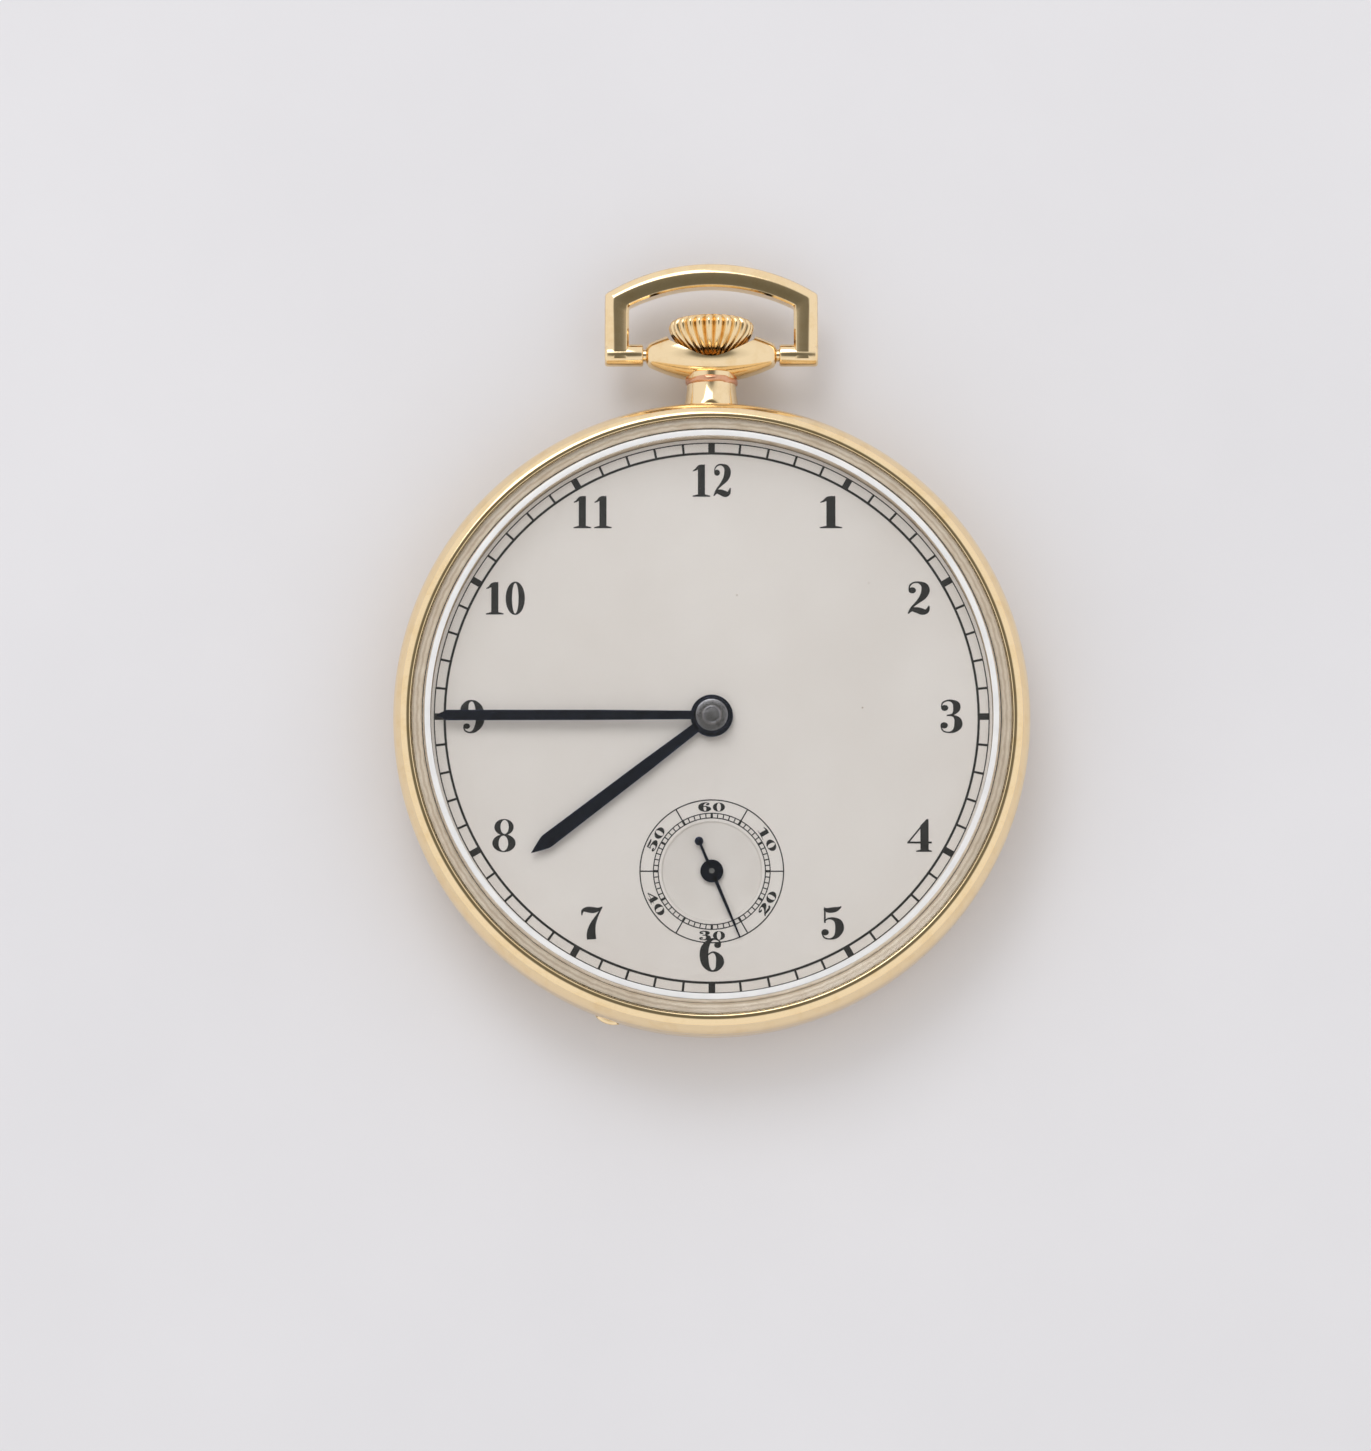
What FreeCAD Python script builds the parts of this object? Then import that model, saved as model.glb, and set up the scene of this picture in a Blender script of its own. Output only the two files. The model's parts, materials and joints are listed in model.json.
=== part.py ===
import FreeCAD, Part
import math
import os

# Open face pocket watch, in millimetres.
# The origin is on the centre axis in the plane that the case back rests on.
# +Z points out of the dial, +Y towards 12 o'clock, +X towards 3 o'clock.

Vector = FreeCAD.Vector
X_AXIS = Vector(1, 0, 0)
Y_AXIS = Vector(0, 1, 0)
Z_AXIS = Vector(0, 0, 1)

# ---------------------------------------------------------------- case sizes
CASE_RADIUS = 22.5
BACK_FLAT_RADIUS = 15.0
BACK_WALL = 0.55
BACK_TOP = 2.45
BACK_RIM_HEIGHT = 0.9
BACK_RIM_WALL = 0.45
BAND_BOTTOM = 2.50
BAND_TOP = 5.30
BAND_INNER_RADIUS = 20.95
LEDGE_RADIUS = 19.35
LEDGE_BOTTOM = 4.55
BEZEL_BOTTOM = 5.35
BEZEL_TOP = 7.30
SNAP_GAP = 0.05
REHAUT_RADIUS = 19.90
REHAUT_TOP_RADIUS = 20.20
CRYSTAL_SEAT = 6.75
CRYSTAL_RADIUS = 21.10
CRYSTAL_BEVEL_RADIUS = 20.07
CRYSTAL_TOP = 8.00
CRYSTAL_INSIDE = 7.10
CRYSTAL_BEVEL_DROP = 0.62
CRYSTAL_INNER_RADIUS = 19.90

# ------------------------------------------------- pendant, bow and crown
STEM_HEIGHT = 3.40
PENDANT_Y = 26.40
PENDANT_RADIUS = 1.95
PENDANT_HALF = 4.67
PENDANT_END_RADIUS = 0.75
NECK_BASE_RADIUS = 2.35
NECK_WAIST_RADIUS = 1.72
NECK_BASE_Y = 21.30
NECK_WAIST_Y = 23.50
NECK_TOP_Y = PENDANT_Y - 0.90
RECESS_FLOOR_Y = PENDANT_Y - 0.60
RECESS_FLOOR_RADIUS = 1.70
RECESS_RADIUS = 3.20
RECESS_WALL_Y = PENDANT_Y + 0.90
RECESS_TOP_Y = PENDANT_Y + 2.05
STEM_RADIUS = 0.50
STEM_BORE = 0.62
PIN_RADIUS = 0.45
PIN_BORE = 0.49
PIN_INNER_X = 3.30
PIN_OUTER_X = 7.10
BOW_TUBE_RADIUS = 0.80
BOW_TUBE_INNER_X = 4.87
BOW_OUTER_HALF = 7.63
BOW_INNER_HALF = 5.90
BOW_THICK = 1.60
BOW_OUTER_CORNER_Y = PENDANT_Y + 4.46
BOW_OUTER_PEAK_Y = PENDANT_Y + 6.63
BOW_INNER_CORNER_Y = PENDANT_Y + 3.50
BOW_INNER_PEAK_Y = PENDANT_Y + 4.88
BOW_EDGE_ROUND = 0.34
CROWN_RADIUS = 3.05
CROWN_FLUTES = 25

# ------------------------------------------------------- movement levels
PLATE_RADIUS = 19.10
PLATE_FLANGE_RADIUS = 19.90
PLATE_FLANGE_BOTTOM = BAND_TOP - 0.70
PLATE_BOTTOM = 3.20
PLATE_TOP = 5.15
BARREL_BRIDGE_LOW = 1.15
BARREL_BRIDGE_HIGH = 2.40
TRAIN_BRIDGE_LOW = 1.00
TRAIN_BRIDGE_HIGH = 1.60
COCK_LOW = 0.85
COCK_HIGH = 1.45
WINDING_LOW = 0.82
WINDING_HIGH = 1.10

# ------------------------------------------------ wheel sizes and counts
CENTRE_TEETH = 64
CENTRE_PINION_LEAVES = 10
THIRD_TEETH = 60
THIRD_PINION_LEAVES = 8
FOURTH_TEETH = 70
FOURTH_PINION_LEAVES = 8
ESCAPE_PINION_LEAVES = 7
ESCAPE_TEETH = 15
BARREL_TEETH = 80
CROWN_WHEEL_TEETH = 32
RATCHET_TEETH = 51
WINDING_PINION_TEETH = 12
CANNON_LEAVES = 12
MINUTE_WHEEL_TEETH = 36
MINUTE_PINION_LEAVES = 10
HOUR_WHEEL_TEETH = 40
SETTING_WHEEL_TEETH = 18
BARREL_MODULE = 0.20
CENTRE_MODULE = 0.17
THIRD_MODULE = 0.15
FOURTH_MODULE = 0.12
WINDING_MODULE = 0.25
MINUTE_MODULE = 0.15
HOUR_MODULE = 0.144
PIVOT_RADIUS = 0.12
JEWEL_RADIUS = 0.50
JEWEL_GAP = 0.02


def pitch(teeth, module):
    return teeth * module / 2.0


def circle_meet(first, first_distance, second, second_distance, side):
    """Point at two distances from two points, on the chosen side of their line."""
    dx = second[0] - first[0]
    dy = second[1] - first[1]
    span = math.hypot(dx, dy)
    along = (first_distance ** 2 - second_distance ** 2 + span ** 2) / (2.0 * span)
    across = side * math.sqrt(first_distance ** 2 - along ** 2)
    ux = dx / span
    uy = dy / span
    return (first[0] + along * ux - across * uy, first[1] + along * uy + across * ux)


# --------------------------------------------------------- wheel centres
CENTRE = (0.0, 0.0)
BARREL_BEARING = math.radians(25.0)
BARREL_DISTANCE = pitch(BARREL_TEETH + CENTRE_PINION_LEAVES, BARREL_MODULE)
BARREL = (BARREL_DISTANCE * math.cos(BARREL_BEARING), BARREL_DISTANCE * math.sin(BARREL_BEARING))
FOURTH = (0.0, -10.97)
THIRD = circle_meet(
    CENTRE, pitch(CENTRE_TEETH + THIRD_PINION_LEAVES, CENTRE_MODULE),
    FOURTH, pitch(THIRD_TEETH + FOURTH_PINION_LEAVES, THIRD_MODULE), 1.0)
BALANCE_DISTANCE = 12.0
BALANCE_BEARING = math.radians(205.0)
BALANCE = (BALANCE_DISTANCE * math.cos(BALANCE_BEARING), BALANCE_DISTANCE * math.sin(BALANCE_BEARING))
ESCAPE_TO_BALANCE = 8.0
ESCAPE = circle_meet(
    FOURTH, pitch(FOURTH_TEETH + ESCAPE_PINION_LEAVES, FOURTH_MODULE),
    BALANCE, ESCAPE_TO_BALANCE, 1.0)
LEVER_BEARING = math.atan2(BALANCE[1] - ESCAPE[1], BALANCE[0] - ESCAPE[0])
ESCAPE_TO_PALLET = 3.35
PALLET = (ESCAPE[0] + ESCAPE_TO_PALLET * math.cos(LEVER_BEARING),
          ESCAPE[1] + ESCAPE_TO_PALLET * math.sin(LEVER_BEARING))
CROWN_WHEEL_DISTANCE = pitch(CROWN_WHEEL_TEETH + RATCHET_TEETH, WINDING_MODULE)
CROWN_WHEEL = (0.0, BARREL[1] + math.sqrt(CROWN_WHEEL_DISTANCE ** 2 - BARREL[0] ** 2))
MINUTE_WHEEL_X = -1.60
MINUTE_DISTANCE = pitch(CANNON_LEAVES + MINUTE_WHEEL_TEETH, MINUTE_MODULE)
MINUTE_WHEEL = (MINUTE_WHEEL_X, math.sqrt(MINUTE_DISTANCE ** 2 - MINUTE_WHEEL_X ** 2))
SETTING_DISTANCE = pitch(MINUTE_WHEEL_TEETH + SETTING_WHEEL_TEETH, MINUTE_MODULE)
SETTING_WHEEL = (0.0, MINUTE_WHEEL[1] + math.sqrt(SETTING_DISTANCE ** 2 - MINUTE_WHEEL_X ** 2))


# ---------------------------------------------------------------- helpers
def disc(radius, low, high, centre=(0.0, 0.0)):
    return Part.makeCylinder(radius, high - low, Vector(centre[0], centre[1], low), Z_AXIS)


def ring(outer, inner, low, high, centre=(0.0, 0.0)):
    return disc(outer, low, high, centre).cut(disc(inner, low, high, centre))


def box(x0, x1, y0, y1, z0, z1):
    return Part.makeBox(x1 - x0, y1 - y0, z1 - z0, Vector(x0, y0, z0))


def rod_y(radius, y0, y1, x=0.0, z=STEM_HEIGHT):
    return Part.makeCylinder(radius, y1 - y0, Vector(x, y0, z), Y_AXIS)


def rod_x(radius, x0, x1, y=PENDANT_Y, z=STEM_HEIGHT):
    return Part.makeCylinder(radius, x1 - x0, Vector(x0, y, z), X_AXIS)


def cone_y(r0, r1, y0, y1):
    return Part.makeCone(r0, r1, y1 - y0, Vector(0, y0, STEM_HEIGHT), Y_AXIS)


def turned(points):
    """Solid of revolution about the Z axis from (radius, height) points."""
    corners = [Vector(radius, 0, height) for radius, height in points]
    face = Part.Face(Part.makePolygon(corners + corners[:1]))
    return face.revolve(Vector(0, 0, 0), Z_AXIS, 360)


def placed(shape, centre, turn=0.0):
    """Copy of a shape made about the origin, turned and moved to its centre."""
    result = shape.copy()
    result.rotate(Vector(0, 0, 0), Z_AXIS, turn)
    result.translate(Vector(centre[0], centre[1], 0))
    return result


def flat(points, low, high):
    """Prism on a closed outline of (x, y) points."""
    corners = [Vector(x, y, low) for x, y in points]
    face = Part.Face(Part.makePolygon(corners + corners[:1]))
    return face.extrude(Vector(0, 0, high - low))


def polar(radius, angle):
    return (radius * math.cos(angle), radius * math.sin(angle))


def on_circle(centre, radius, degrees):
    angle = math.radians(degrees)
    return (centre[0] + radius * math.cos(angle), centre[1] + radius * math.sin(angle))


def tooth_outline(teeth, root, tip, root_share, tip_share):
    """Closed outline of a toothed wheel; the first tooth is centred on +X."""
    points = []
    step = 2.0 * math.pi / teeth
    for number in range(teeth):
        middle = number * step
        points.append(polar(root, middle - step * root_share / 2))
        points.append(polar(tip, middle - step * tip_share / 2))
        points.append(polar(tip, middle + step * tip_share / 2))
        points.append(polar(root, middle + step * root_share / 2))
    return points


TOOTH_ROOT_SHARE = 0.58
TOOTH_TIP_SHARE = 0.20
TOOTH_DEPTH = 1.15
TOOTH_HEIGHT = 0.80


def gear(teeth, module, low, high, bore=0.0):
    radius = pitch(teeth, module)
    outline = tooth_outline(teeth, radius - TOOTH_DEPTH * module, radius + TOOTH_HEIGHT * module,
                            TOOTH_ROOT_SHARE, TOOTH_TIP_SHARE)
    body = flat(outline, low, high)
    if bore > 0:
        body = body.cut(disc(bore, low, high))
    return body


def spoked(body, outer, inner, spokes, width, low, high, turn=0.0):
    """Cut the windows between the spokes out of a wheel made about the origin."""
    window = ring(outer, inner, low, high)
    for number in range(spokes):
        arm = box(0.0, outer + 1.0, -width / 2, width / 2, low, high)
        arm.rotate(Vector(0, 0, 0), Z_AXIS, turn + number * 360.0 / spokes)
        window = window.cut(arm)
    return body.cut(window)


def joined(shapes):
    result = shapes[0]
    if len(shapes) > 1:
        result = result.multiFuse(shapes[1:])
    return result.removeSplitter()


def save(name, shapes):
    """Write one node; a list of separate solids becomes one compound."""
    shape = shapes
    if isinstance(shapes, list):
        shape = Part.Compound(shapes)
    shape.exportStep("parts/" + name + ".step")
    print(name, len(shape.Solids), shape.isValid(), round(shape.Volume, 3))


# ------------------------------------------------------------------- case
SHOULDER_MIDDLE = (18.85, 0.523)
LIP_RADIUS = 22.42
LIP_BOTTOM = 2.05
INNER_FLAT_RADIUS = 17.30
INNER_SHOULDER_MIDDLE = (19.05, 0.960)
INNER_SHOULDER_TOP = 2.10
PLATE_SEAT_GAP = 0.05
BAND_SIDE_DRAW = 0.18
BEZEL_CROWN = (22.28, 6.55)
BEZEL_SIDE = (22.50, 5.70)
BEZEL_LIP_MIDDLE = (21.86, 7.16)
BEZEL_LIP_RADIUS = 21.50
LEDGE_THICK = 0.35
NECK_ROOM_HALF = 4.0
PENDANT_CURVE = 0.055
PENDANT_SHOULDER = 0.20
PENDANT_NOSE_DROP = 0.15
THUMB_BEARING = 250.8
THUMB_HALF_WIDTH = 0.95
THUMB_REACH = 0.30
STEM_NOTCH_HALF = 1.20


def point3(pair):
    return Vector(pair[0], 0, pair[1])


def straight(start, end):
    return Part.makeLine(point3(start), point3(end))


def bend(start, middle, end):
    return Part.Arc(point3(start), point3(middle), point3(end)).toShape()


def turned_edges(edges):
    face = Part.Face(Part.Wire(edges))
    return face.revolve(Vector(0, 0, 0), Z_AXIS, 360)


def make_back_cover():
    rim_outer = BAND_INNER_RADIUS - SNAP_GAP
    rim_inner = rim_outer - BACK_RIM_WALL
    rim_top = BACK_TOP + BACK_RIM_HEIGHT
    outline = [
        straight((0, 0), (BACK_FLAT_RADIUS, 0)),
        bend((BACK_FLAT_RADIUS, 0), SHOULDER_MIDDLE, (LIP_RADIUS, LIP_BOTTOM)),
        straight((LIP_RADIUS, LIP_BOTTOM), (LIP_RADIUS, BACK_TOP)),
        straight((LIP_RADIUS, BACK_TOP), (rim_outer, BACK_TOP)),
        straight((rim_outer, BACK_TOP), (rim_outer, rim_top)),
        straight((rim_outer, rim_top), (rim_inner, rim_top)),
        straight((rim_inner, rim_top), (rim_inner, INNER_SHOULDER_TOP)),
        bend((rim_inner, INNER_SHOULDER_TOP), INNER_SHOULDER_MIDDLE, (INNER_FLAT_RADIUS, BACK_WALL)),
        straight((INNER_FLAT_RADIUS, BACK_WALL), (0, BACK_WALL)),
        straight((0, BACK_WALL), (0, 0)),
    ]
    cover = turned_edges(outline)
    lip = box(LIP_RADIUS - 0.5, LIP_RADIUS + THUMB_REACH, -THUMB_HALF_WIDTH, THUMB_HALF_WIDTH,
              LIP_BOTTOM, BACK_TOP)
    lip.rotate(Vector(0, 0, 0), Z_AXIS, THUMB_BEARING)
    stem_notch = box(-STEM_NOTCH_HALF, STEM_NOTCH_HALF, rim_inner - 0.5, rim_outer + 0.1, BACK_TOP, rim_top)
    return joined([cover, lip]).cut(stem_notch)


def make_pendant_blank():
    """Barrel-shaped cross piece, turned about the X axis, with rounded ends."""
    shoulder_x = PENDANT_HALF - PENDANT_SHOULDER
    shoulder_r = PENDANT_RADIUS - PENDANT_CURVE * shoulder_x ** 2
    nose = PENDANT_END_RADIUS - PENDANT_NOSE_DROP

    def at(x, radius):
        return Vector(x, PENDANT_Y + radius, STEM_HEIGHT)

    top = Part.Arc(at(shoulder_x, shoulder_r), at(0, PENDANT_RADIUS), at(-shoulder_x, shoulder_r))
    edges = [
        Part.makeLine(at(-PENDANT_HALF, 0), at(PENDANT_HALF, 0)),
        Part.makeLine(at(PENDANT_HALF, 0), at(PENDANT_HALF, nose)),
        Part.makeLine(at(PENDANT_HALF, nose), at(shoulder_x, shoulder_r)),
        top.toShape(),
        Part.makeLine(at(-shoulder_x, shoulder_r), at(-PENDANT_HALF, nose)),
        Part.makeLine(at(-PENDANT_HALF, nose), at(-PENDANT_HALF, 0)),
    ]
    face = Part.Face(Part.Wire(edges))
    return face.revolve(Vector(0, PENDANT_Y, STEM_HEIGHT), X_AXIS, 360)


def make_pendant(blank):
    bowl = cone_y(RECESS_FLOOR_RADIUS, RECESS_RADIUS, RECESS_FLOOR_Y, RECESS_WALL_Y)
    recess = joined([bowl, rod_y(RECESS_RADIUS, RECESS_WALL_Y, RECESS_TOP_Y)])
    bore = rod_y(STEM_BORE, PENDANT_Y - 2.5, PENDANT_Y + 1.0)
    body = blank.cut(recess).cut(bore)
    for side in (-1, 1):
        inner = min(side * PIN_INNER_X, side * (PENDANT_HALF + 0.1))
        outer = max(side * PIN_INNER_X, side * (PENDANT_HALF + 0.1))
        body = body.cut(rod_x(PIN_RADIUS, inner, outer))
    return body


def make_case_middle(blank):
    seat = PLATE_FLANGE_RADIUS + PLATE_SEAT_GAP
    outline = [
        straight((BAND_INNER_RADIUS, BAND_BOTTOM), (CASE_RADIUS - BAND_SIDE_DRAW, BAND_BOTTOM)),
        bend((CASE_RADIUS - BAND_SIDE_DRAW, BAND_BOTTOM),
             (CASE_RADIUS, (BAND_BOTTOM + BAND_TOP) / 2),
             (CASE_RADIUS - BAND_SIDE_DRAW, BAND_TOP)),
        straight((CASE_RADIUS - BAND_SIDE_DRAW, BAND_TOP), (seat, BAND_TOP)),
        straight((seat, BAND_TOP), (seat, PLATE_FLANGE_BOTTOM)),
        straight((seat, PLATE_FLANGE_BOTTOM), (LEDGE_RADIUS, PLATE_FLANGE_BOTTOM)),
        straight((LEDGE_RADIUS, PLATE_FLANGE_BOTTOM), (LEDGE_RADIUS, LEDGE_BOTTOM - LEDGE_THICK)),
        straight((LEDGE_RADIUS, LEDGE_BOTTOM - LEDGE_THICK), (BAND_INNER_RADIUS, LEDGE_BOTTOM - LEDGE_THICK)),
        straight((BAND_INNER_RADIUS, LEDGE_BOTTOM - LEDGE_THICK), (BAND_INNER_RADIUS, BAND_BOTTOM)),
    ]
    band = turned_edges(outline)
    flare = cone_y(NECK_BASE_RADIUS, NECK_WAIST_RADIUS, NECK_BASE_Y, NECK_WAIST_Y)
    waist = rod_y(NECK_WAIST_RADIUS, NECK_WAIST_Y, NECK_TOP_Y)
    slab = box(-NECK_ROOM_HALF, NECK_ROOM_HALF, NECK_BASE_Y - 1.0, NECK_TOP_Y + 1.0, BAND_BOTTOM, BAND_TOP)
    neck = flare.fuse(waist)
    low_neck = neck.common(slab)
    body = joined([band, low_neck.cut(disc(BAND_INNER_RADIUS + 0.6, BAND_BOTTOM, BAND_TOP))])
    above = waist.cut(slab)
    body = joined([body, above]).cut(blank)
    return body.cut(rod_y(STEM_BORE, LEDGE_RADIUS - 1.0, NECK_TOP_Y + 1.0))


def make_bezel():
    seat = CRYSTAL_RADIUS + 0.03
    outline = [
        straight((REHAUT_RADIUS, BEZEL_BOTTOM), (CASE_RADIUS - 0.05, BEZEL_BOTTOM)),
        bend((CASE_RADIUS - 0.05, BEZEL_BOTTOM), BEZEL_SIDE, BEZEL_CROWN),
        bend(BEZEL_CROWN, BEZEL_LIP_MIDDLE, (BEZEL_LIP_RADIUS, BEZEL_TOP)),
        straight((BEZEL_LIP_RADIUS, BEZEL_TOP), (seat, BEZEL_TOP - 0.08)),
        straight((seat, BEZEL_TOP - 0.08), (seat, CRYSTAL_SEAT)),
        straight((seat, CRYSTAL_SEAT), (REHAUT_TOP_RADIUS, CRYSTAL_SEAT)),
        straight((REHAUT_TOP_RADIUS, CRYSTAL_SEAT), (REHAUT_RADIUS, BEZEL_BOTTOM)),
    ]
    return turned_edges(outline)


def make_crystal():
    edge_top = CRYSTAL_TOP - CRYSTAL_BEVEL_DROP
    outline = [
        (0, CRYSTAL_INSIDE), (CRYSTAL_INNER_RADIUS, CRYSTAL_INSIDE),
        (CRYSTAL_INNER_RADIUS + 0.35, CRYSTAL_SEAT), (CRYSTAL_RADIUS, CRYSTAL_SEAT),
        (CRYSTAL_RADIUS, edge_top), (CRYSTAL_BEVEL_RADIUS, CRYSTAL_TOP), (0, CRYSTAL_TOP),
    ]
    return turned(outline)


# ------------------------------------------------------------ bow and crown
def arch_wire(half, corner_y, peak_y, foot_y, z):
    """Stirrup outline: two upright legs joined by a low arch."""
    left_foot = Vector(-half, foot_y, z)
    left_corner = Vector(-half, corner_y, z)
    right_corner = Vector(half, corner_y, z)
    right_foot = Vector(half, foot_y, z)
    arch = Part.Arc(left_corner, Vector(0, peak_y, z), right_corner).toShape()
    return Part.Wire([
        Part.makeLine(left_foot, left_corner), arch,
        Part.makeLine(right_corner, right_foot), Part.makeLine(right_foot, left_foot)])


def make_bow():
    low = STEM_HEIGHT - BOW_THICK / 2
    lift = Vector(0, 0, BOW_THICK)
    outer = Part.Face(arch_wire(BOW_OUTER_HALF, BOW_OUTER_CORNER_Y, BOW_OUTER_PEAK_Y, PENDANT_Y, low))
    inner = Part.Face(arch_wire(BOW_INNER_HALF, BOW_INNER_CORNER_Y, BOW_INNER_PEAK_Y, PENDANT_Y - 1.0, low))
    loop = outer.extrude(lift).cut(inner.extrude(lift))
    long_edges = []
    for edge in loop.Edges:
        ends = [vertex.Point for vertex in edge.Vertexes]
        flat_edge = abs(ends[0].z - ends[-1].z) < 0.01
        foot = all(abs(end.y - PENDANT_Y) < 0.01 for end in ends)
        if flat_edge and not foot:
            long_edges.append(edge)
    loop = loop.makeChamfer(BOW_EDGE_ROUND, long_edges)
    shapes = [loop]
    for side in (-1, 1):
        inner_x = min(side * BOW_TUBE_INNER_X, side * BOW_OUTER_HALF)
        outer_x = max(side * BOW_TUBE_INNER_X, side * BOW_OUTER_HALF)
        shapes.append(rod_x(BOW_TUBE_RADIUS, inner_x, outer_x))
    body = joined(shapes)
    return body.cut(rod_x(PIN_BORE, -PIN_OUTER_X - 0.05, PIN_OUTER_X + 0.05))


def make_bow_pins():
    return [rod_x(PIN_RADIUS, PIN_INNER_X, PIN_OUTER_X), rod_x(PIN_RADIUS, -PIN_OUTER_X, -PIN_INNER_X)]


# Distance beyond the pendant's axis, and radius, of each fluted section.
CROWN_SECTIONS = [(-0.37, 1.00), (0.10, 1.75), (0.65, 2.35), (1.35, 2.87), (1.90, CROWN_RADIUS),
                  (2.24, 2.98), (2.46, 2.70)]
CROWN_LOW_Y = PENDANT_Y + CROWN_SECTIONS[0][0]
CROWN_CAP_Y = PENDANT_Y + CROWN_SECTIONS[-1][0]
CROWN_TOP_Y = PENDANT_Y + 2.62
CROWN_TOP_RADIUS = 2.45
CROWN_DOME = 0.06
CROWN_DOME_RADIUS = 1.47
CROWN_GROOVE_SHARE = 0.90
CROWN_BORE_END = PENDANT_Y + 1.50


def lobed_wire(y, radius):
    """Fluted section: one arc per flute between two groove points."""
    edges = []
    step = 2 * math.pi / CROWN_FLUTES
    for number in range(CROWN_FLUTES):
        ends = []
        for angle, share in ((0.0, CROWN_GROOVE_SHARE), (0.5, 1.0), (1.0, CROWN_GROOVE_SHARE)):
            turn = (number + angle) * step
            ends.append(Vector(radius * share * math.cos(turn), y,
                               STEM_HEIGHT + radius * share * math.sin(turn)))
        edges.append(Part.Arc(ends[0], ends[1], ends[2]).toShape())
    return Part.Wire(edges)


def make_crown():
    wires = [lobed_wire(PENDANT_Y + beyond, radius) for beyond, radius in CROWN_SECTIONS]
    body = Part.makeLoft(wires, True, False)
    cap = rod_y(CROWN_TOP_RADIUS, CROWN_CAP_Y - 0.3, CROWN_TOP_Y - CROWN_DOME)
    dome = cone_y(CROWN_TOP_RADIUS, CROWN_DOME_RADIUS, CROWN_TOP_Y - CROWN_DOME, CROWN_TOP_Y)
    body = joined([body, cap, dome])
    return body.cut(rod_y(STEM_RADIUS, CROWN_LOW_Y - 0.2, CROWN_BORE_END))


# ------------------------------------------------------------ winding work
STEM_INNER_Y = 7.00
STEM_PILOT_RADIUS = 0.30
STEM_PILOT_END = 8.80
STEM_SQUARE_HALF = 0.34
STEM_SQUARE_END = 13.10
STEM_GROOVE_RADIUS = 0.34
STEM_GROOVE_LOW = 15.35
STEM_GROOVE_HIGH = 15.85
WINDING_PINION_LOW_Y = 13.20
WINDING_PINION_HIGH_Y = 14.80
SLIDING_LOW_Y = 9.75
SLIDING_HIGH_Y = 12.75
SLIDING_RADIUS = 1.45
SLIDING_GROOVE_RADIUS = 0.95
SLIDING_GROOVE_LOW_Y = 10.90
SLIDING_GROOVE_HIGH_Y = 11.50
CLUTCH_TEETH = 10
CLUTCH_DEPTH = 0.35
SQUARE_GAP = 0.04


def square_rod(half, y0, y1):
    return box(-half, half, y0, y1, STEM_HEIGHT - half, STEM_HEIGHT + half)


def make_stem():
    body = joined([
        rod_y(STEM_PILOT_RADIUS, STEM_INNER_Y, STEM_PILOT_END),
        square_rod(STEM_SQUARE_HALF, STEM_PILOT_END, STEM_SQUARE_END),
        rod_y(STEM_RADIUS, STEM_SQUARE_END, CROWN_BORE_END),
    ])
    groove = rod_y(STEM_RADIUS + 0.1, STEM_GROOVE_LOW, STEM_GROOVE_HIGH)
    return body.cut(groove.cut(rod_y(STEM_GROOVE_RADIUS, STEM_GROOVE_LOW, STEM_GROOVE_HIGH)))


def upright_to_stem(shape):
    """Turn a shape made along +Z at the origin so that it lies along the stem."""
    result = shape.copy()
    result.rotate(Vector(0, 0, 0), X_AXIS, -90)
    result.translate(Vector(0, 0, STEM_HEIGHT))
    return result


def crown_teeth(outer, inner, low, high, teeth, share, turn):
    """Ring of blocks standing on an end face, made about the Z axis."""
    shapes = []
    step = 2 * math.pi / teeth
    for number in range(teeth):
        middle = (number + turn) * step
        half = step * share / 2
        outline = [polar(inner, middle - half), polar(outer, middle - half),
                   polar(outer, middle + half), polar(inner, middle + half)]
        shapes.append(flat(outline, low, high))
    return shapes


def make_winding_pinion():
    spur = gear(WINDING_PINION_TEETH, WINDING_MODULE, WINDING_PINION_LOW_Y, WINDING_PINION_HIGH_Y)
    spur = spur.cut(disc(STEM_BORE, WINDING_PINION_LOW_Y, WINDING_PINION_HIGH_Y))
    clutch = crown_teeth(1.10, STEM_BORE + 0.06, WINDING_PINION_LOW_Y - CLUTCH_DEPTH,
                         WINDING_PINION_LOW_Y, CLUTCH_TEETH, 0.40, 0.0)
    body = placed(joined([spur] + clutch), (0, 0), 180.0 / WINDING_PINION_TEETH)
    return upright_to_stem(body)


def make_sliding_pinion():
    low = SLIDING_LOW_Y
    high = SLIDING_HIGH_Y
    body = disc(SLIDING_RADIUS, low, high)
    groove = ring(SLIDING_RADIUS + 0.1, SLIDING_GROOVE_RADIUS, SLIDING_GROOVE_LOW_Y, SLIDING_GROOVE_HIGH_Y)
    body = body.cut(groove)
    outward = crown_teeth(1.10, STEM_BORE + 0.06, high, high + CLUTCH_DEPTH, CLUTCH_TEETH, 0.40, 0.5)
    inward = crown_teeth(SLIDING_RADIUS - 0.02, 0.95, low - CLUTCH_DEPTH, low, CLUTCH_TEETH, 0.40, 0.0)
    body = placed(joined([body] + outward + inward), (0, 0), 180.0 / WINDING_PINION_TEETH)
    body = upright_to_stem(body)
    half = STEM_SQUARE_HALF + SQUARE_GAP
    return body.cut(square_rod(half, low - 1.0, high + 1.0))


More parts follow.
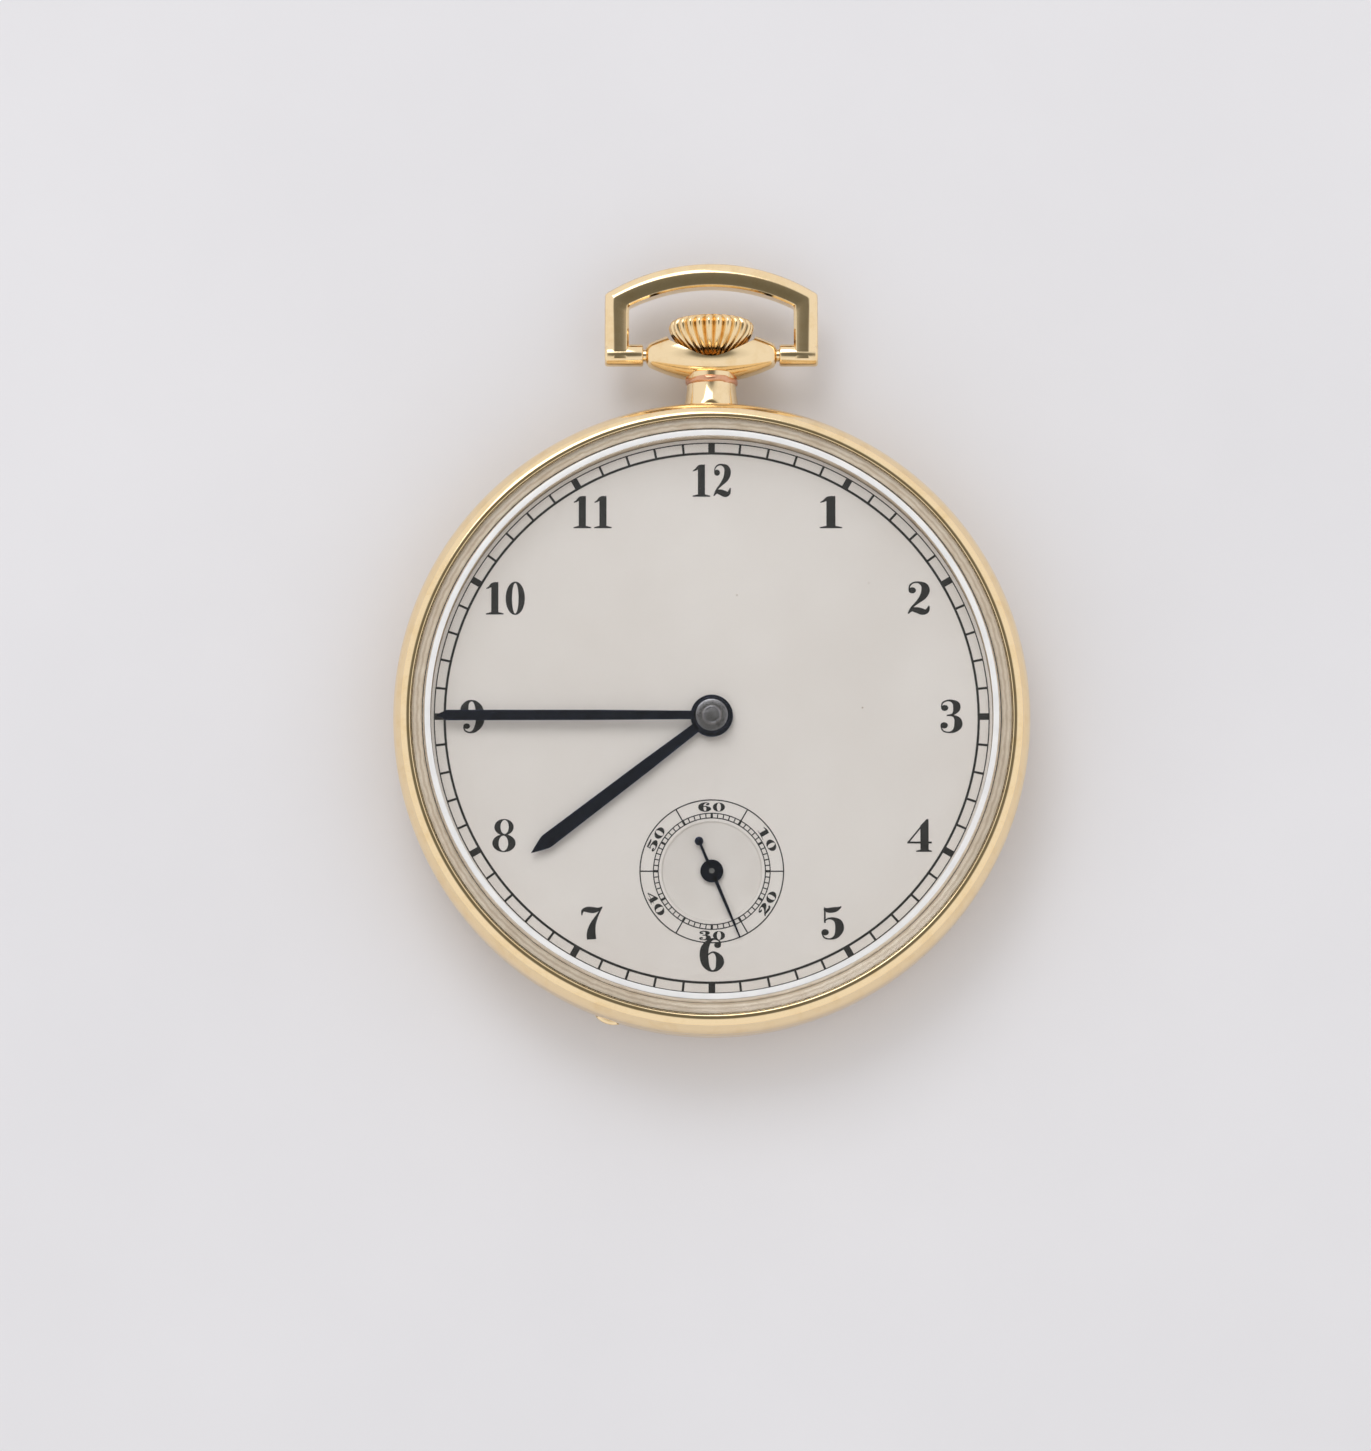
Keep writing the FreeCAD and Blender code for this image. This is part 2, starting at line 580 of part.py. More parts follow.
CROWN_WHEEL_RIM_INNER = 3.45
CROWN_WHEEL_RIM_TOP = 1.62
CROWN_WHEEL_TOOTH_TOP = 1.98
CROWN_WHEEL_CORE_RADIUS = 1.50
CROWN_WHEEL_CORE_FLANGE = 1.85
CROWN_WHEEL_PHASE = 0.0
CROWN_TEETH_INSET = 0.42
CROWN_TOOTH_SHARE = 0.34
CORE_SCREW_RADIUS = 0.45
CORE_SCREW_GRIP = 0.80
CORE_FLANGE_DROP = 0.12
RUNNING_GAP = 0.02
SCREW_SLOT = 0.16


def slotted(head, radius, low, centre, turn=0.0):
    """Cut a screwdriver slot into the outer face of a head."""
    slot = box(-radius, radius, -SCREW_SLOT / 2, SCREW_SLOT / 2, low, low + SCREW_SLOT)
    return head.cut(placed(slot, centre, turn))


def make_crown_wheel():
    spur = gear(CROWN_WHEEL_TEETH, WINDING_MODULE, WINDING_LOW, WINDING_HIGH, CROWN_WHEEL_CORE_RADIUS + 0.03)
    root = pitch(CROWN_WHEEL_TEETH, WINDING_MODULE) - TOOTH_DEPTH * WINDING_MODULE
    rim = ring(root, CROWN_WHEEL_RIM_INNER, WINDING_HIGH, CROWN_WHEEL_RIM_TOP)
    teeth = crown_teeth(root + CROWN_TEETH_INSET, CROWN_WHEEL_RIM_INNER + RUNNING_GAP,
                        WINDING_HIGH, CROWN_WHEEL_TOOTH_TOP,
                        CROWN_WHEEL_TEETH, CROWN_TOOTH_SHARE, 0.0)
    body = joined([spur, rim] + teeth)
    return placed(body, CROWN_WHEEL, CROWN_WHEEL_PHASE)


def make_crown_wheel_core():
    low = WINDING_LOW - CORE_FLANGE_DROP
    body = joined([disc(CROWN_WHEEL_CORE_RADIUS, WINDING_LOW, BARREL_BRIDGE_LOW),
                   disc(CROWN_WHEEL_CORE_FLANGE, low, WINDING_LOW - RUNNING_GAP),
                   disc(CROWN_WHEEL_CORE_RADIUS, WINDING_LOW - RUNNING_GAP, WINDING_LOW)])
    body = placed(body, CROWN_WHEEL)
    bore = disc(CORE_SCREW_RADIUS, low, BARREL_BRIDGE_LOW, CROWN_WHEEL)
    return body.cut(bore)


def make_crown_wheel_screw():
    low = WINDING_LOW - CORE_FLANGE_DROP
    body = disc(CORE_SCREW_RADIUS, low, BARREL_BRIDGE_LOW + CORE_SCREW_GRIP, CROWN_WHEEL)
    return slotted(body, CORE_SCREW_RADIUS + 0.15, low, CROWN_WHEEL, 35.0)


RATCHET_SQUARE_HALF = 0.85
RATCHET_BEARING = math.degrees(math.atan2(CROWN_WHEEL[1] - BARREL[1], CROWN_WHEEL[0] - BARREL[0]))


def phase_at(teeth, turn, bearing):
    """Fraction of a tooth step from the nearest tooth of a wheel to a bearing."""
    step = 360.0 / teeth
    return ((bearing - turn) / step) % 1.0


def meshing_turn(driver_teeth, driver_turn, driven_teeth, bearing):
    """Turn of a driven wheel so that its gaps receive the driver's teeth.

    The bearing runs from the driver's centre to the driven wheel's centre.
    """
    phase = phase_at(driver_teeth, driver_turn, bearing)
    step = 360.0 / driven_teeth
    return bearing + 180.0 + (0.5 + phase) * step


def make_ratchet_wheel():
    bearing = RATCHET_BEARING - 180.0
    turn = meshing_turn(CROWN_WHEEL_TEETH, CROWN_WHEEL_PHASE, RATCHET_TEETH, bearing)
    body = gear(RATCHET_TEETH, WINDING_MODULE, WINDING_LOW, WINDING_HIGH)
    hole = box(-RATCHET_SQUARE_HALF, RATCHET_SQUARE_HALF, -RATCHET_SQUARE_HALF, RATCHET_SQUARE_HALF,
               WINDING_LOW, WINDING_HIGH)
    body = placed(body, (0, 0), turn).cut(hole)
    return placed(body, BARREL)


RATCHET_SCREW_HEAD = 1.45
RATCHET_SCREW_DROP = 0.14
RATCHET_SCREW_SHANK = 0.42
RATCHET_SCREW_GRIP = 1.20


def make_ratchet_screw():
    low = WINDING_LOW - RATCHET_SCREW_DROP
    head = disc(RATCHET_SCREW_HEAD, low, WINDING_LOW, BARREL)
    shank = disc(RATCHET_SCREW_SHANK, WINDING_LOW, WINDING_LOW + RATCHET_SCREW_GRIP, BARREL)
    return slotted(joined([head, shank]), RATCHET_SCREW_HEAD + 0.15, low, BARREL, 20.0)


CLICK_BEARING = -38.0
CLICK_REACH = 1.75
CLICK_TIP_GAP = 0.07
RATCHET_TIP = pitch(RATCHET_TEETH, WINDING_MODULE) + TOOTH_HEIGHT * WINDING_MODULE
CLICK = on_circle(BARREL, RATCHET_TIP + CLICK_REACH, CLICK_BEARING)
CLICK_HUB = 0.85
CLICK_BORE = 0.42
CLICK_BACK_HALF = 0.55
CLICK_FRONT_HALF = 0.60
CLICK_BEAK_LOW = 0.22
CLICK_BEAK_HIGH = 0.42
CLICK_BEAK_SET = 0.30
CLICK_SCREW_RADIUS = 0.38
CLICK_SCREW_HEAD = 0.75
CLICK_SCREW_DROP = 0.16
CLICK_SCREW_GRIP = 0.70
CLICK_PLAY = 0.03
CLICK_TIP = on_circle(BARREL, RATCHET_TIP + CLICK_TIP_GAP, CLICK_BEARING - 12.0)


def make_click():
    ux = (CLICK_TIP[0] - CLICK[0])
    uy = (CLICK_TIP[1] - CLICK[1])
    length = math.hypot(ux, uy)
    beak = flat([(0, -CLICK_BACK_HALF), (length - 0.10, -CLICK_BEAK_LOW), (length, 0.02),
                 (length - CLICK_BEAK_SET, CLICK_BEAK_HIGH), (0, CLICK_FRONT_HALF)],
                WINDING_LOW, WINDING_HIGH)
    beak = placed(beak, CLICK, math.degrees(math.atan2(uy, ux)))
    body = joined([beak, disc(CLICK_HUB, WINDING_LOW, WINDING_HIGH, CLICK)])
    return body.cut(disc(CLICK_BORE, WINDING_LOW, WINDING_HIGH, CLICK))


def make_click_screw():
    low = WINDING_LOW - CLICK_SCREW_DROP
    shank = disc(CLICK_SCREW_RADIUS, low, BARREL_BRIDGE_LOW + CLICK_SCREW_GRIP, CLICK)
    head = disc(CLICK_SCREW_HEAD, low, WINDING_LOW - CLICK_PLAY, CLICK)
    return slotted(joined([shank, head]), CLICK_SCREW_HEAD + 0.15, low, CLICK, 70.0)


# -------------------------------------------------------- barrel and train
BARREL_LOW = 2.98
BARREL_TOP = 4.20
BARREL_RIM = 0.30
BARREL_DRUM_RADIUS = 7.55
BARREL_WALL = 0.35
BARREL_FLOOR = 0.16
ARBOR_RADIUS = 0.60
ARBOR_CORE_RADIUS = 1.60
CENTRE_WHEEL_LOW = 2.62
WHEEL_THICK = 0.18
THIRD_WHEEL_LOW = 1.85
FOURTH_WHEEL_LOW = 2.28
ESCAPE_WHEEL_LOW = 2.85
ARBOR_THIN = 0.26
SECONDS_PIVOT_RADIUS = 0.20
SECONDS_PIVOT_TOP = 5.84
ARBOR_GAP = 0.03
ARBOR_STEP = 0.10
ARBOR_TOP_PIVOT = 0.24
WHEEL_SPOKES = 4
CENTRE_RIM = 0.45
CENTRE_BOSS = 1.05
CENTRE_SPOKE = 0.50
CENTRE_HUB = 0.60
CENTRE_LEAVES_LOW = 2.86
CENTRE_LEAVES_HIGH = 3.70
CENTRE_JOURNAL_RADIUS = 0.42
CENTRE_JOURNAL_TOP = 4.40
CENTRE_POST_RADIUS = 0.36
CENTRE_POST_TOP = 6.60
CENTRE_PIVOT_RADIUS = 0.20
ARBOR_LOW = 1.68
ARBOR_HIGH = 3.12
PIVOT_TOP = 3.50
PIVOT_INSET = 0.12
THIRD_RIM = 0.40
THIRD_BOSS = 0.85
THIRD_SPOKE = 0.42
THIRD_HUB = 0.40
THIRD_LEAVES_LOW = 2.56
THIRD_LEAVES_HIGH = 2.92
FOURTH_RIM = 0.36
FOURTH_BOSS = 0.80
FOURTH_SPOKE = 0.38
FOURTH_HUB = 0.38
FOURTH_LEAVES_LOW = 1.76
FOURTH_LEAVES_HIGH = 2.18


def train_turns():
    """Rest angles that let every pair of wheels mesh tooth to gap."""
    turns = {"minute_pinion": 0.0}
    barrel_bearing = math.degrees(BARREL_BEARING)
    turns["barrel"] = meshing_turn(CENTRE_PINION_LEAVES, 0.0, BARREL_TEETH, barrel_bearing)
    to_third = math.degrees(math.atan2(THIRD[1], THIRD[0]))
    turns["third_pinion"] = meshing_turn(CENTRE_TEETH, 0.0, THIRD_PINION_LEAVES, to_third)
    to_fourth = math.degrees(math.atan2(FOURTH[1] - THIRD[1], FOURTH[0] - THIRD[0]))
    turns["fourth_pinion"] = meshing_turn(THIRD_TEETH, 0.0, FOURTH_PINION_LEAVES, to_fourth)
    to_escape = math.degrees(math.atan2(ESCAPE[1] - FOURTH[1], ESCAPE[0] - FOURTH[0]))
    turns["escape_pinion"] = meshing_turn(FOURTH_TEETH, 0.0, ESCAPE_PINION_LEAVES, to_escape)
    to_minute = math.degrees(math.atan2(MINUTE_WHEEL[1], MINUTE_WHEEL[0]))
    turns["minute_wheel"] = meshing_turn(CANNON_LEAVES, 0.0, MINUTE_WHEEL_TEETH, to_minute)
    turns["hour_wheel"] = meshing_turn(MINUTE_PINION_LEAVES, 0.0, HOUR_WHEEL_TEETH, to_minute + 180.0)
    to_setting = math.degrees(math.atan2(SETTING_WHEEL[1] - MINUTE_WHEEL[1],
                                         SETTING_WHEEL[0] - MINUTE_WHEEL[0]))
    turns["setting_wheel"] = meshing_turn(MINUTE_WHEEL_TEETH, turns["minute_wheel"],
                                          SETTING_WHEEL_TEETH, to_setting)
    return turns


def make_barrel(turns):
    rim = gear(BARREL_TEETH, BARREL_MODULE, BARREL_LOW, BARREL_LOW + BARREL_RIM)
    drum = disc(BARREL_DRUM_RADIUS, BARREL_LOW, BARREL_TOP)
    hollow = disc(BARREL_DRUM_RADIUS - BARREL_WALL, BARREL_LOW + BARREL_FLOOR, BARREL_TOP)
    bore = disc(ARBOR_RADIUS + ARBOR_GAP, BARREL_LOW, BARREL_TOP)
    body = joined([rim, drum]).cut(hollow).cut(bore)
    return placed(body, BARREL, turns["barrel"])


def make_barrel_cover():
    return ring(BARREL_DRUM_RADIUS - BARREL_WALL, ARBOR_RADIUS + ARBOR_GAP,
                BARREL_TOP - BARREL_FLOOR, BARREL_TOP, BARREL)


def make_barrel_arbor():
    low = BARREL_LOW + BARREL_FLOOR + ARBOR_GAP
    high = BARREL_TOP - BARREL_FLOOR - ARBOR_GAP
    half = RATCHET_SQUARE_HALF - RUNNING_GAP
    square = placed(box(-half, half, -half, half, WINDING_LOW, WINDING_HIGH), BARREL)
    journal = disc(half, WINDING_HIGH, BARREL_BRIDGE_HIGH + ARBOR_STEP, BARREL)
    neck = disc(ARBOR_RADIUS, BARREL_BRIDGE_HIGH + ARBOR_STEP, BARREL_TOP + ARBOR_TOP_PIVOT, BARREL)
    core = disc(ARBOR_CORE_RADIUS, low, high, BARREL)
    hole = disc(RATCHET_SCREW_SHANK, WINDING_LOW, WINDING_LOW + RATCHET_SCREW_GRIP, BARREL)
    return joined([square, journal, neck, core]).cut(hole)


SPRING_TURNS = 5
SPRING_THICK = 0.18
SPRING_INNER = 2.60
SPRING_OUTER = 6.95
SPRING_GAP = 0.04
SPOKE_TURN = 45.0
POINTS_PER_TURN = 10


def spiral(inner, outer, turns, thick, low, high, start=0.0):
    """Flat spiral strip about the origin."""
    half = thick / 2
    outward = []
    inward = []
    steps = turns * POINTS_PER_TURN
    for step in range(steps + 1):
        share = step / steps
        angle = start + share * turns * 2 * math.pi
        radius = inner + share * (outer - inner)
        outward.append(polar(radius + half, angle))
        inward.append(polar(radius - half, angle))
    top = Part.BSplineCurve()
    top.interpolate([Vector(x, y, low) for x, y in outward])
    under = Part.BSplineCurve()
    under.interpolate([Vector(x, y, low) for x, y in reversed(inward)])
    tip = Part.makeLine(top.EndPoint, under.StartPoint)
    root = Part.makeLine(under.EndPoint, top.StartPoint)
    face = Part.Face(Part.Wire([top.toShape(), tip, under.toShape(), root]))
    return face.extrude(Vector(0, 0, high - low))


def make_mainspring():
    low = BARREL_LOW + BARREL_FLOOR + SPRING_GAP
    high = BARREL_TOP - BARREL_FLOOR - SPRING_GAP
    return placed(spiral(SPRING_INNER, SPRING_OUTER, SPRING_TURNS, SPRING_THICK, low, high), BARREL)


def wheel_with_arms(teeth, module, low, rim, hub, width):
    root = pitch(teeth, module) - TOOTH_DEPTH * module
    body = gear(teeth, module, low, low + WHEEL_THICK)
    return spoked(body, root - rim, hub, WHEEL_SPOKES, width, low, low + WHEEL_THICK, SPOKE_TURN)


def make_centre_wheel():
    wheel = wheel_with_arms(CENTRE_TEETH, CENTRE_MODULE, CENTRE_WHEEL_LOW, CENTRE_RIM, CENTRE_BOSS,
                            CENTRE_SPOKE)
    return wheel.cut(disc(CENTRE_HUB, CENTRE_WHEEL_LOW, CENTRE_WHEEL_LOW + WHEEL_THICK))


def make_centre_arbor():
    hub = disc(CENTRE_HUB, CENTRE_WHEEL_LOW - 0.12, CENTRE_LEAVES_LOW + 0.04)
    leaves = gear(CENTRE_PINION_LEAVES, BARREL_MODULE, CENTRE_LEAVES_LOW, CENTRE_LEAVES_HIGH)
    journal = disc(CENTRE_JOURNAL_RADIUS, CENTRE_LEAVES_HIGH, CENTRE_JOURNAL_TOP)
    post = disc(CENTRE_POST_RADIUS, CENTRE_JOURNAL_TOP, CENTRE_POST_TOP)
    low_pivot = disc(CENTRE_PIVOT_RADIUS, BARREL_BRIDGE_LOW + 0.25, CENTRE_WHEEL_LOW)
    return joined([hub, leaves, journal, post, low_pivot])


def make_third_wheel():
    wheel = wheel_with_arms(THIRD_TEETH, THIRD_MODULE, THIRD_WHEEL_LOW, THIRD_RIM, THIRD_BOSS, THIRD_SPOKE)
    return placed(wheel.cut(disc(THIRD_HUB, THIRD_WHEEL_LOW, THIRD_WHEEL_LOW + WHEEL_THICK)), THIRD)


def make_third_pinion(turns):
    leaves = gear(THIRD_PINION_LEAVES, CENTRE_MODULE, THIRD_LEAVES_LOW, THIRD_LEAVES_HIGH)
    body = joined([placed(leaves, (0, 0), turns["third_pinion"]),
                   disc(THIRD_HUB, THIRD_WHEEL_LOW - 0.06, THIRD_LEAVES_LOW),
                   disc(ARBOR_THIN, ARBOR_LOW, ARBOR_HIGH),
                   disc(PIVOT_RADIUS, TRAIN_BRIDGE_LOW + PIVOT_INSET, PIVOT_TOP)])
    return placed(body, THIRD)


def make_fourth_wheel():
    wheel = wheel_with_arms(FOURTH_TEETH, FOURTH_MODULE, FOURTH_WHEEL_LOW, FOURTH_RIM, FOURTH_BOSS,
                            FOURTH_SPOKE)
    return placed(wheel.cut(disc(FOURTH_HUB, FOURTH_WHEEL_LOW, FOURTH_WHEEL_LOW + WHEEL_THICK)), FOURTH)


def make_fourth_pinion(turns):
    leaves = gear(FOURTH_PINION_LEAVES, THIRD_MODULE, FOURTH_LEAVES_LOW, FOURTH_LEAVES_HIGH)
    body = joined([placed(leaves, (0, 0), turns["fourth_pinion"]),
                   disc(FOURTH_HUB, FOURTH_LEAVES_HIGH, FOURTH_WHEEL_LOW + WHEEL_THICK + 0.05),
                   disc(ARBOR_THIN, ARBOR_LOW, ARBOR_HIGH),
                   disc(SECONDS_PIVOT_RADIUS, ARBOR_HIGH, SECONDS_PIVOT_TOP),
                   disc(PIVOT_RADIUS, TRAIN_BRIDGE_LOW + PIVOT_INSET, ARBOR_LOW)])
    return placed(body, FOURTH)


ESCAPE_TIP_RADIUS = 2.90
ESCAPE_ROOT_RADIUS = 2.15
CLUB_WIDTH = 6.0
CLUB_LEAN = 9.0
CLUB_DROP = 0.12
CLUB_UNDERCUT = 0.30
ESCAPE_WHEEL_HIGH = 3.01
ESCAPE_RIM_INNER = 1.80
ESCAPE_BOSS = 0.60
ESCAPE_SPOKE = 0.32
ESCAPE_HUB = 0.28
ESCAPE_ARBOR_RADIUS = 0.20
ESCAPE_ARBOR_TOP = 3.14
ESCAPE_LEAVES_LOW = 2.20
ESCAPE_LEAVES_HIGH = 2.58


def make_escape_wheel():
    outline = []
    step = 360.0 / ESCAPE_TEETH
    for number in range(ESCAPE_TEETH):
        start = number * step
        outline.append(polar(ESCAPE_ROOT_RADIUS, math.radians(start)))
        outline.append(polar(ESCAPE_TIP_RADIUS - CLUB_DROP, math.radians(start + CLUB_LEAN)))
        outline.append(polar(ESCAPE_TIP_RADIUS, math.radians(start + CLUB_LEAN + CLUB_WIDTH)))
        heel = math.radians(start + CLUB_LEAN + CLUB_WIDTH - 1.0)
        outline.append(polar(ESCAPE_TIP_RADIUS - CLUB_UNDERCUT, heel))
        outline.append(polar(ESCAPE_ROOT_RADIUS, math.radians(start + CLUB_LEAN)))
    body = flat(outline, ESCAPE_WHEEL_LOW, ESCAPE_WHEEL_HIGH)
    body = spoked(body, ESCAPE_RIM_INNER, ESCAPE_BOSS, WHEEL_SPOKES, ESCAPE_SPOKE,
                  ESCAPE_WHEEL_LOW, ESCAPE_WHEEL_HIGH)
    return placed(body.cut(disc(ESCAPE_HUB, ESCAPE_WHEEL_LOW, ESCAPE_WHEEL_HIGH)), ESCAPE)


def make_escape_pinion(turns):
    leaves = gear(ESCAPE_PINION_LEAVES, FOURTH_MODULE, ESCAPE_LEAVES_LOW, ESCAPE_LEAVES_HIGH)
    body = joined([placed(leaves, (0, 0), turns["escape_pinion"]),
                   disc(ESCAPE_HUB, ESCAPE_LEAVES_HIGH, ESCAPE_WHEEL_HIGH + 0.04),
                   disc(ESCAPE_ARBOR_RADIUS, ARBOR_LOW, ESCAPE_ARBOR_TOP),
                   disc(PIVOT_RADIUS, TRAIN_BRIDGE_LOW + PIVOT_INSET, PIVOT_TOP)])
    return placed(body, ESCAPE)


# --------------------------------------------------- pallets and balance
FORK_LOW = 2.84
FORK_HIGH = 3.02
PALLET_SPAN = 60.0
STONE_DEPTH = 0.06
JEWEL_ORBIT = 0.75
BALANCE_RADIUS = 6.0
BALANCE_LOW = 1.80
BALANCE_HIGH = 2.25
BALANCE_RIM = 0.55
ROLLER_LOW = 2.62
ROLLER_HIGH = 2.74
LEVER_DEGREES = math.degrees(LEVER_BEARING)
LEVER_ROOT_HALF = 0.24
LEVER_END_HALF = 0.13
LEVER_BOSS = 0.42
LEVER_STAFF = 0.16
LEVER_STAFF_LOW = 2.78
LEVER_PIVOT_LOW = 2.45
NOTCH_HALF = 0.15
NOTCH_DEPTH = 0.12
HORN_HALF = 0.42
HORN_TIP = 0.22
HORN_INNER = 0.16
HORN_ROOT = 0.75
ARM_SPREAD = (0.55, 0.62)
ARM_ROOT_HALF = 0.30
ARM_INNER_HALF = 0.10
STONE_REACH = (0.40, 0.55)
STONE_FRONT = 0.12
STONE_BACK = 0.10
STONE_PROUD = 0.03
BALANCE_ARM_HALF = 0.36
BALANCE_ARM_THICK = 0.20
BALANCE_HUB = 0.80
STAFF_RADIUS = 0.30
STAFF_THIN = 0.18
ROLLER_RADIUS = 1.00
COLLET_LOW = 1.56
COLLET_HIGH = 1.72
COLLET_RADIUS = 0.48
COLLET_BORE = 0.28
IMPULSE_RADIUS = 0.10
IMPULSE_TOP = 2.94
ENDSTONE_THICK = 0.18


def stone_tip(side):
    """Point on the escape wheel's tip circle that one pallet stone reaches."""
    return on_circle((-ESCAPE_TO_PALLET, 0.0), ESCAPE_TIP_RADIUS + STONE_DEPTH, side * PALLET_SPAN / 2)


def make_pallet_fork():
    """Anchor made about its own arbor, with the balance towards +X."""
    reach = ESCAPE_TO_BALANCE - ESCAPE_TO_PALLET - JEWEL_ORBIT
    neck = reach - HORN_ROOT
    floor = reach - NOTCH_DEPTH
    end = neck + NOTCH_HALF
    bar = flat([(0, -LEVER_ROOT_HALF), (end, -LEVER_END_HALF), (end, LEVER_END_HALF), (0, LEVER_ROOT_HALF)],
               FORK_LOW, FORK_HIGH)
    horn = flat([(neck, -NOTCH_HALF), (reach + NOTCH_DEPTH, -HORN_HALF), (reach + HORN_TIP, -HORN_INNER),
                 (floor, -NOTCH_HALF), (floor, NOTCH_HALF), (reach + HORN_TIP, HORN_INNER),
                 (reach + NOTCH_DEPTH, HORN_HALF), (neck, NOTCH_HALF)], FORK_LOW, FORK_HIGH)
    shapes = [bar, horn, disc(LEVER_BOSS, FORK_LOW, FORK_HIGH)]
    for side in (-1, 1):
        tip = stone_tip(side)
        outer = (tip[0] + ARM_SPREAD[0], tip[1] + side * ARM_SPREAD[1])
        inner = side * ARM_INNER_HALF
        shapes.append(flat([(0.1, side * ARM_ROOT_HALF), (outer[0] + 0.25, outer[1]),
                            (outer[0] - ARM_ROOT_HALF, outer[1] + inner),
                            (tip[0] + STONE_FRONT, tip[1] + side * ARM_ROOT_HALF), (-ARM_ROOT_HALF, inner)],
                           FORK_LOW, FORK_HIGH))
    staff = [disc(LEVER_STAFF, LEVER_STAFF_LOW, ARBOR_HIGH), disc(PIVOT_RADIUS, LEVER_PIVOT_LOW, PIVOT_TOP)]
    body = joined(shapes + staff)
    for side in (-1, 1):
        body = body.cut(stone_block(side))
    return placed(body, PALLET, LEVER_DEGREES)


def stone_block(side):
    tip = stone_tip(side)
    outer = (tip[0] + STONE_REACH[0], tip[1] + side * STONE_REACH[1])
    return flat([(tip[0] - STONE_BACK, tip[1]), (tip[0] + STONE_FRONT, tip[1]),
                 (outer[0] + STONE_FRONT, outer[1]), (outer[0] - STONE_BACK, outer[1])],
                FORK_LOW - STONE_PROUD, FORK_HIGH + STONE_PROUD)


def make_pallet_stones():
    return [placed(stone_block(side), PALLET, LEVER_DEGREES) for side in (-1, 1)]


def make_balance_wheel():
    body = ring(BALANCE_RADIUS, BALANCE_RADIUS - BALANCE_RIM, BALANCE_LOW, BALANCE_HIGH)
    arm_top = BALANCE_LOW + BALANCE_ARM_THICK
    reach = BALANCE_RADIUS - BALANCE_RIM / 2
    arm = box(-reach, reach, -BALANCE_ARM_HALF, BALANCE_ARM_HALF, BALANCE_LOW, arm_top)
    hub = disc(BALANCE_HUB, BALANCE_LOW, arm_top)
    body = joined([body, arm, hub]).cut(disc(STAFF_RADIUS, BALANCE_LOW, BALANCE_HIGH))
    return placed(body, BALANCE, LEVER_DEGREES)


BALANCE_SCREWS = 14
BALANCE_SCREW_RADIUS = 0.20
BALANCE_SCREW_OUT = 0.34


def make_balance_screws():
    shapes = []
    middle = (BALANCE_LOW + BALANCE_HIGH) / 2
    for number in range(BALANCE_SCREWS):
        head = Part.makeCylinder(BALANCE_SCREW_RADIUS, BALANCE_SCREW_OUT,
                                 Vector(BALANCE_RADIUS + 0.01, 0, middle), X_AXIS)
        turn = LEVER_DEGREES + (number + 0.5) * 360.0 / BALANCE_SCREWS
        shapes.append(placed(head, BALANCE, turn))
    return shapes


def make_balance_staff():
    body = joined([disc(STAFF_RADIUS, COLLET_LOW, ROLLER_HIGH), disc(ROLLER_RADIUS, ROLLER_LOW, ROLLER_HIGH),
                   disc(STAFF_THIN, ROLLER_HIGH, ARBOR_HIGH), disc(PIVOT_RADIUS, COCK_LOW + 0.2, PIVOT_TOP),
                   ring(COLLET_RADIUS, COLLET_BORE, COLLET_LOW, COLLET_HIGH)])
    body = placed(body, BALANCE)
    return body.cut(impulse_jewel())


def impulse_jewel():
    centre = on_circle(BALANCE, JEWEL_ORBIT, LEVER_DEGREES + 180.0)
    return disc(IMPULSE_RADIUS, ROLLER_LOW, IMPULSE_TOP, centre)


HAIRSPRING_TURNS = 7
HAIRSPRING_OUTER = 3.10
HAIRSPRING_INNER = 0.62
HAIRSPRING_THICK = 0.06
HAIRSPRING_LOW = 1.57
HAIRSPRING_HIGH = 1.70


def make_hairspring():
    coil = spiral(HAIRSPRING_INNER, HAIRSPRING_OUTER, HAIRSPRING_TURNS, HAIRSPRING_THICK,
                  HAIRSPRING_LOW, HAIRSPRING_HIGH)
    return placed(coil, BALANCE)


# ------------------------------------------------------ plates and bridges
BARREL_RECESS_TOP = 4.28
MOTION_FLOOR = 4.45
BRIDGE_EDGE_RADIUS = 18.60
BRIDGE_FOOT_INNER = 17.45
SCREW_HEAD_RADIUS = 0.62
SCREW_SHANK_RADIUS = 0.34
SCREW_HEAD_HEIGHT = 0.30
SCREW_GRIP = 0.90
CENTRE_JEWEL_RADIUS = 0.80
PALLET_COCK_LOW = 2.40
PALLET_COCK_HIGH = 2.72
PALLET_FOOT = on_circle(PALLET, 4.40, LEVER_DEGREES + 100.0)
COCK_FOOT = [(-17.3, -0.2), (-16.6, 4.9), (-11.6, 3.2), (-12.4, 1.9)]
COCK_SCREW = (-14.7, 2.7)
BARREL_BRIDGE_SCREWS = [(16.5, -3.3), (-3.1, 17.75), (-12.3, 8.4)]
TRAIN_BRIDGE_SCREWS = [(13.2, -9.4), (3.2, -17.4)]
CLICK_SPRING_SCREW = (16.9, -0.5)
CASE_SCREWS = [on_circle(CENTRE, 18.45, 62.0), on_circle(CENTRE, 18.45, 242.0)]
DIAL_FEET = [on_circle(CENTRE, 17.60, 150.0), on_circle(CENTRE, 17.60, -52.0)]
DIAL_FOOT_RADIUS = 0.35
DIAL_FOOT_LENGTH = 0.90
YOKE_PIVOT = (-4.20, 10.75)
LEVER_PIVOT = (2.90, 16.20)
SPRING_SCREW = (-6.20, 13.60)
KEYLESS_LOW = 4.55
KEYLESS_HIGH = 4.78
BARREL_POCKET = 8.35
CENTRE_POCKET = 1.40
CENTRE_POCKET_TOP = 3.85
CENTRE_BORE = 0.46
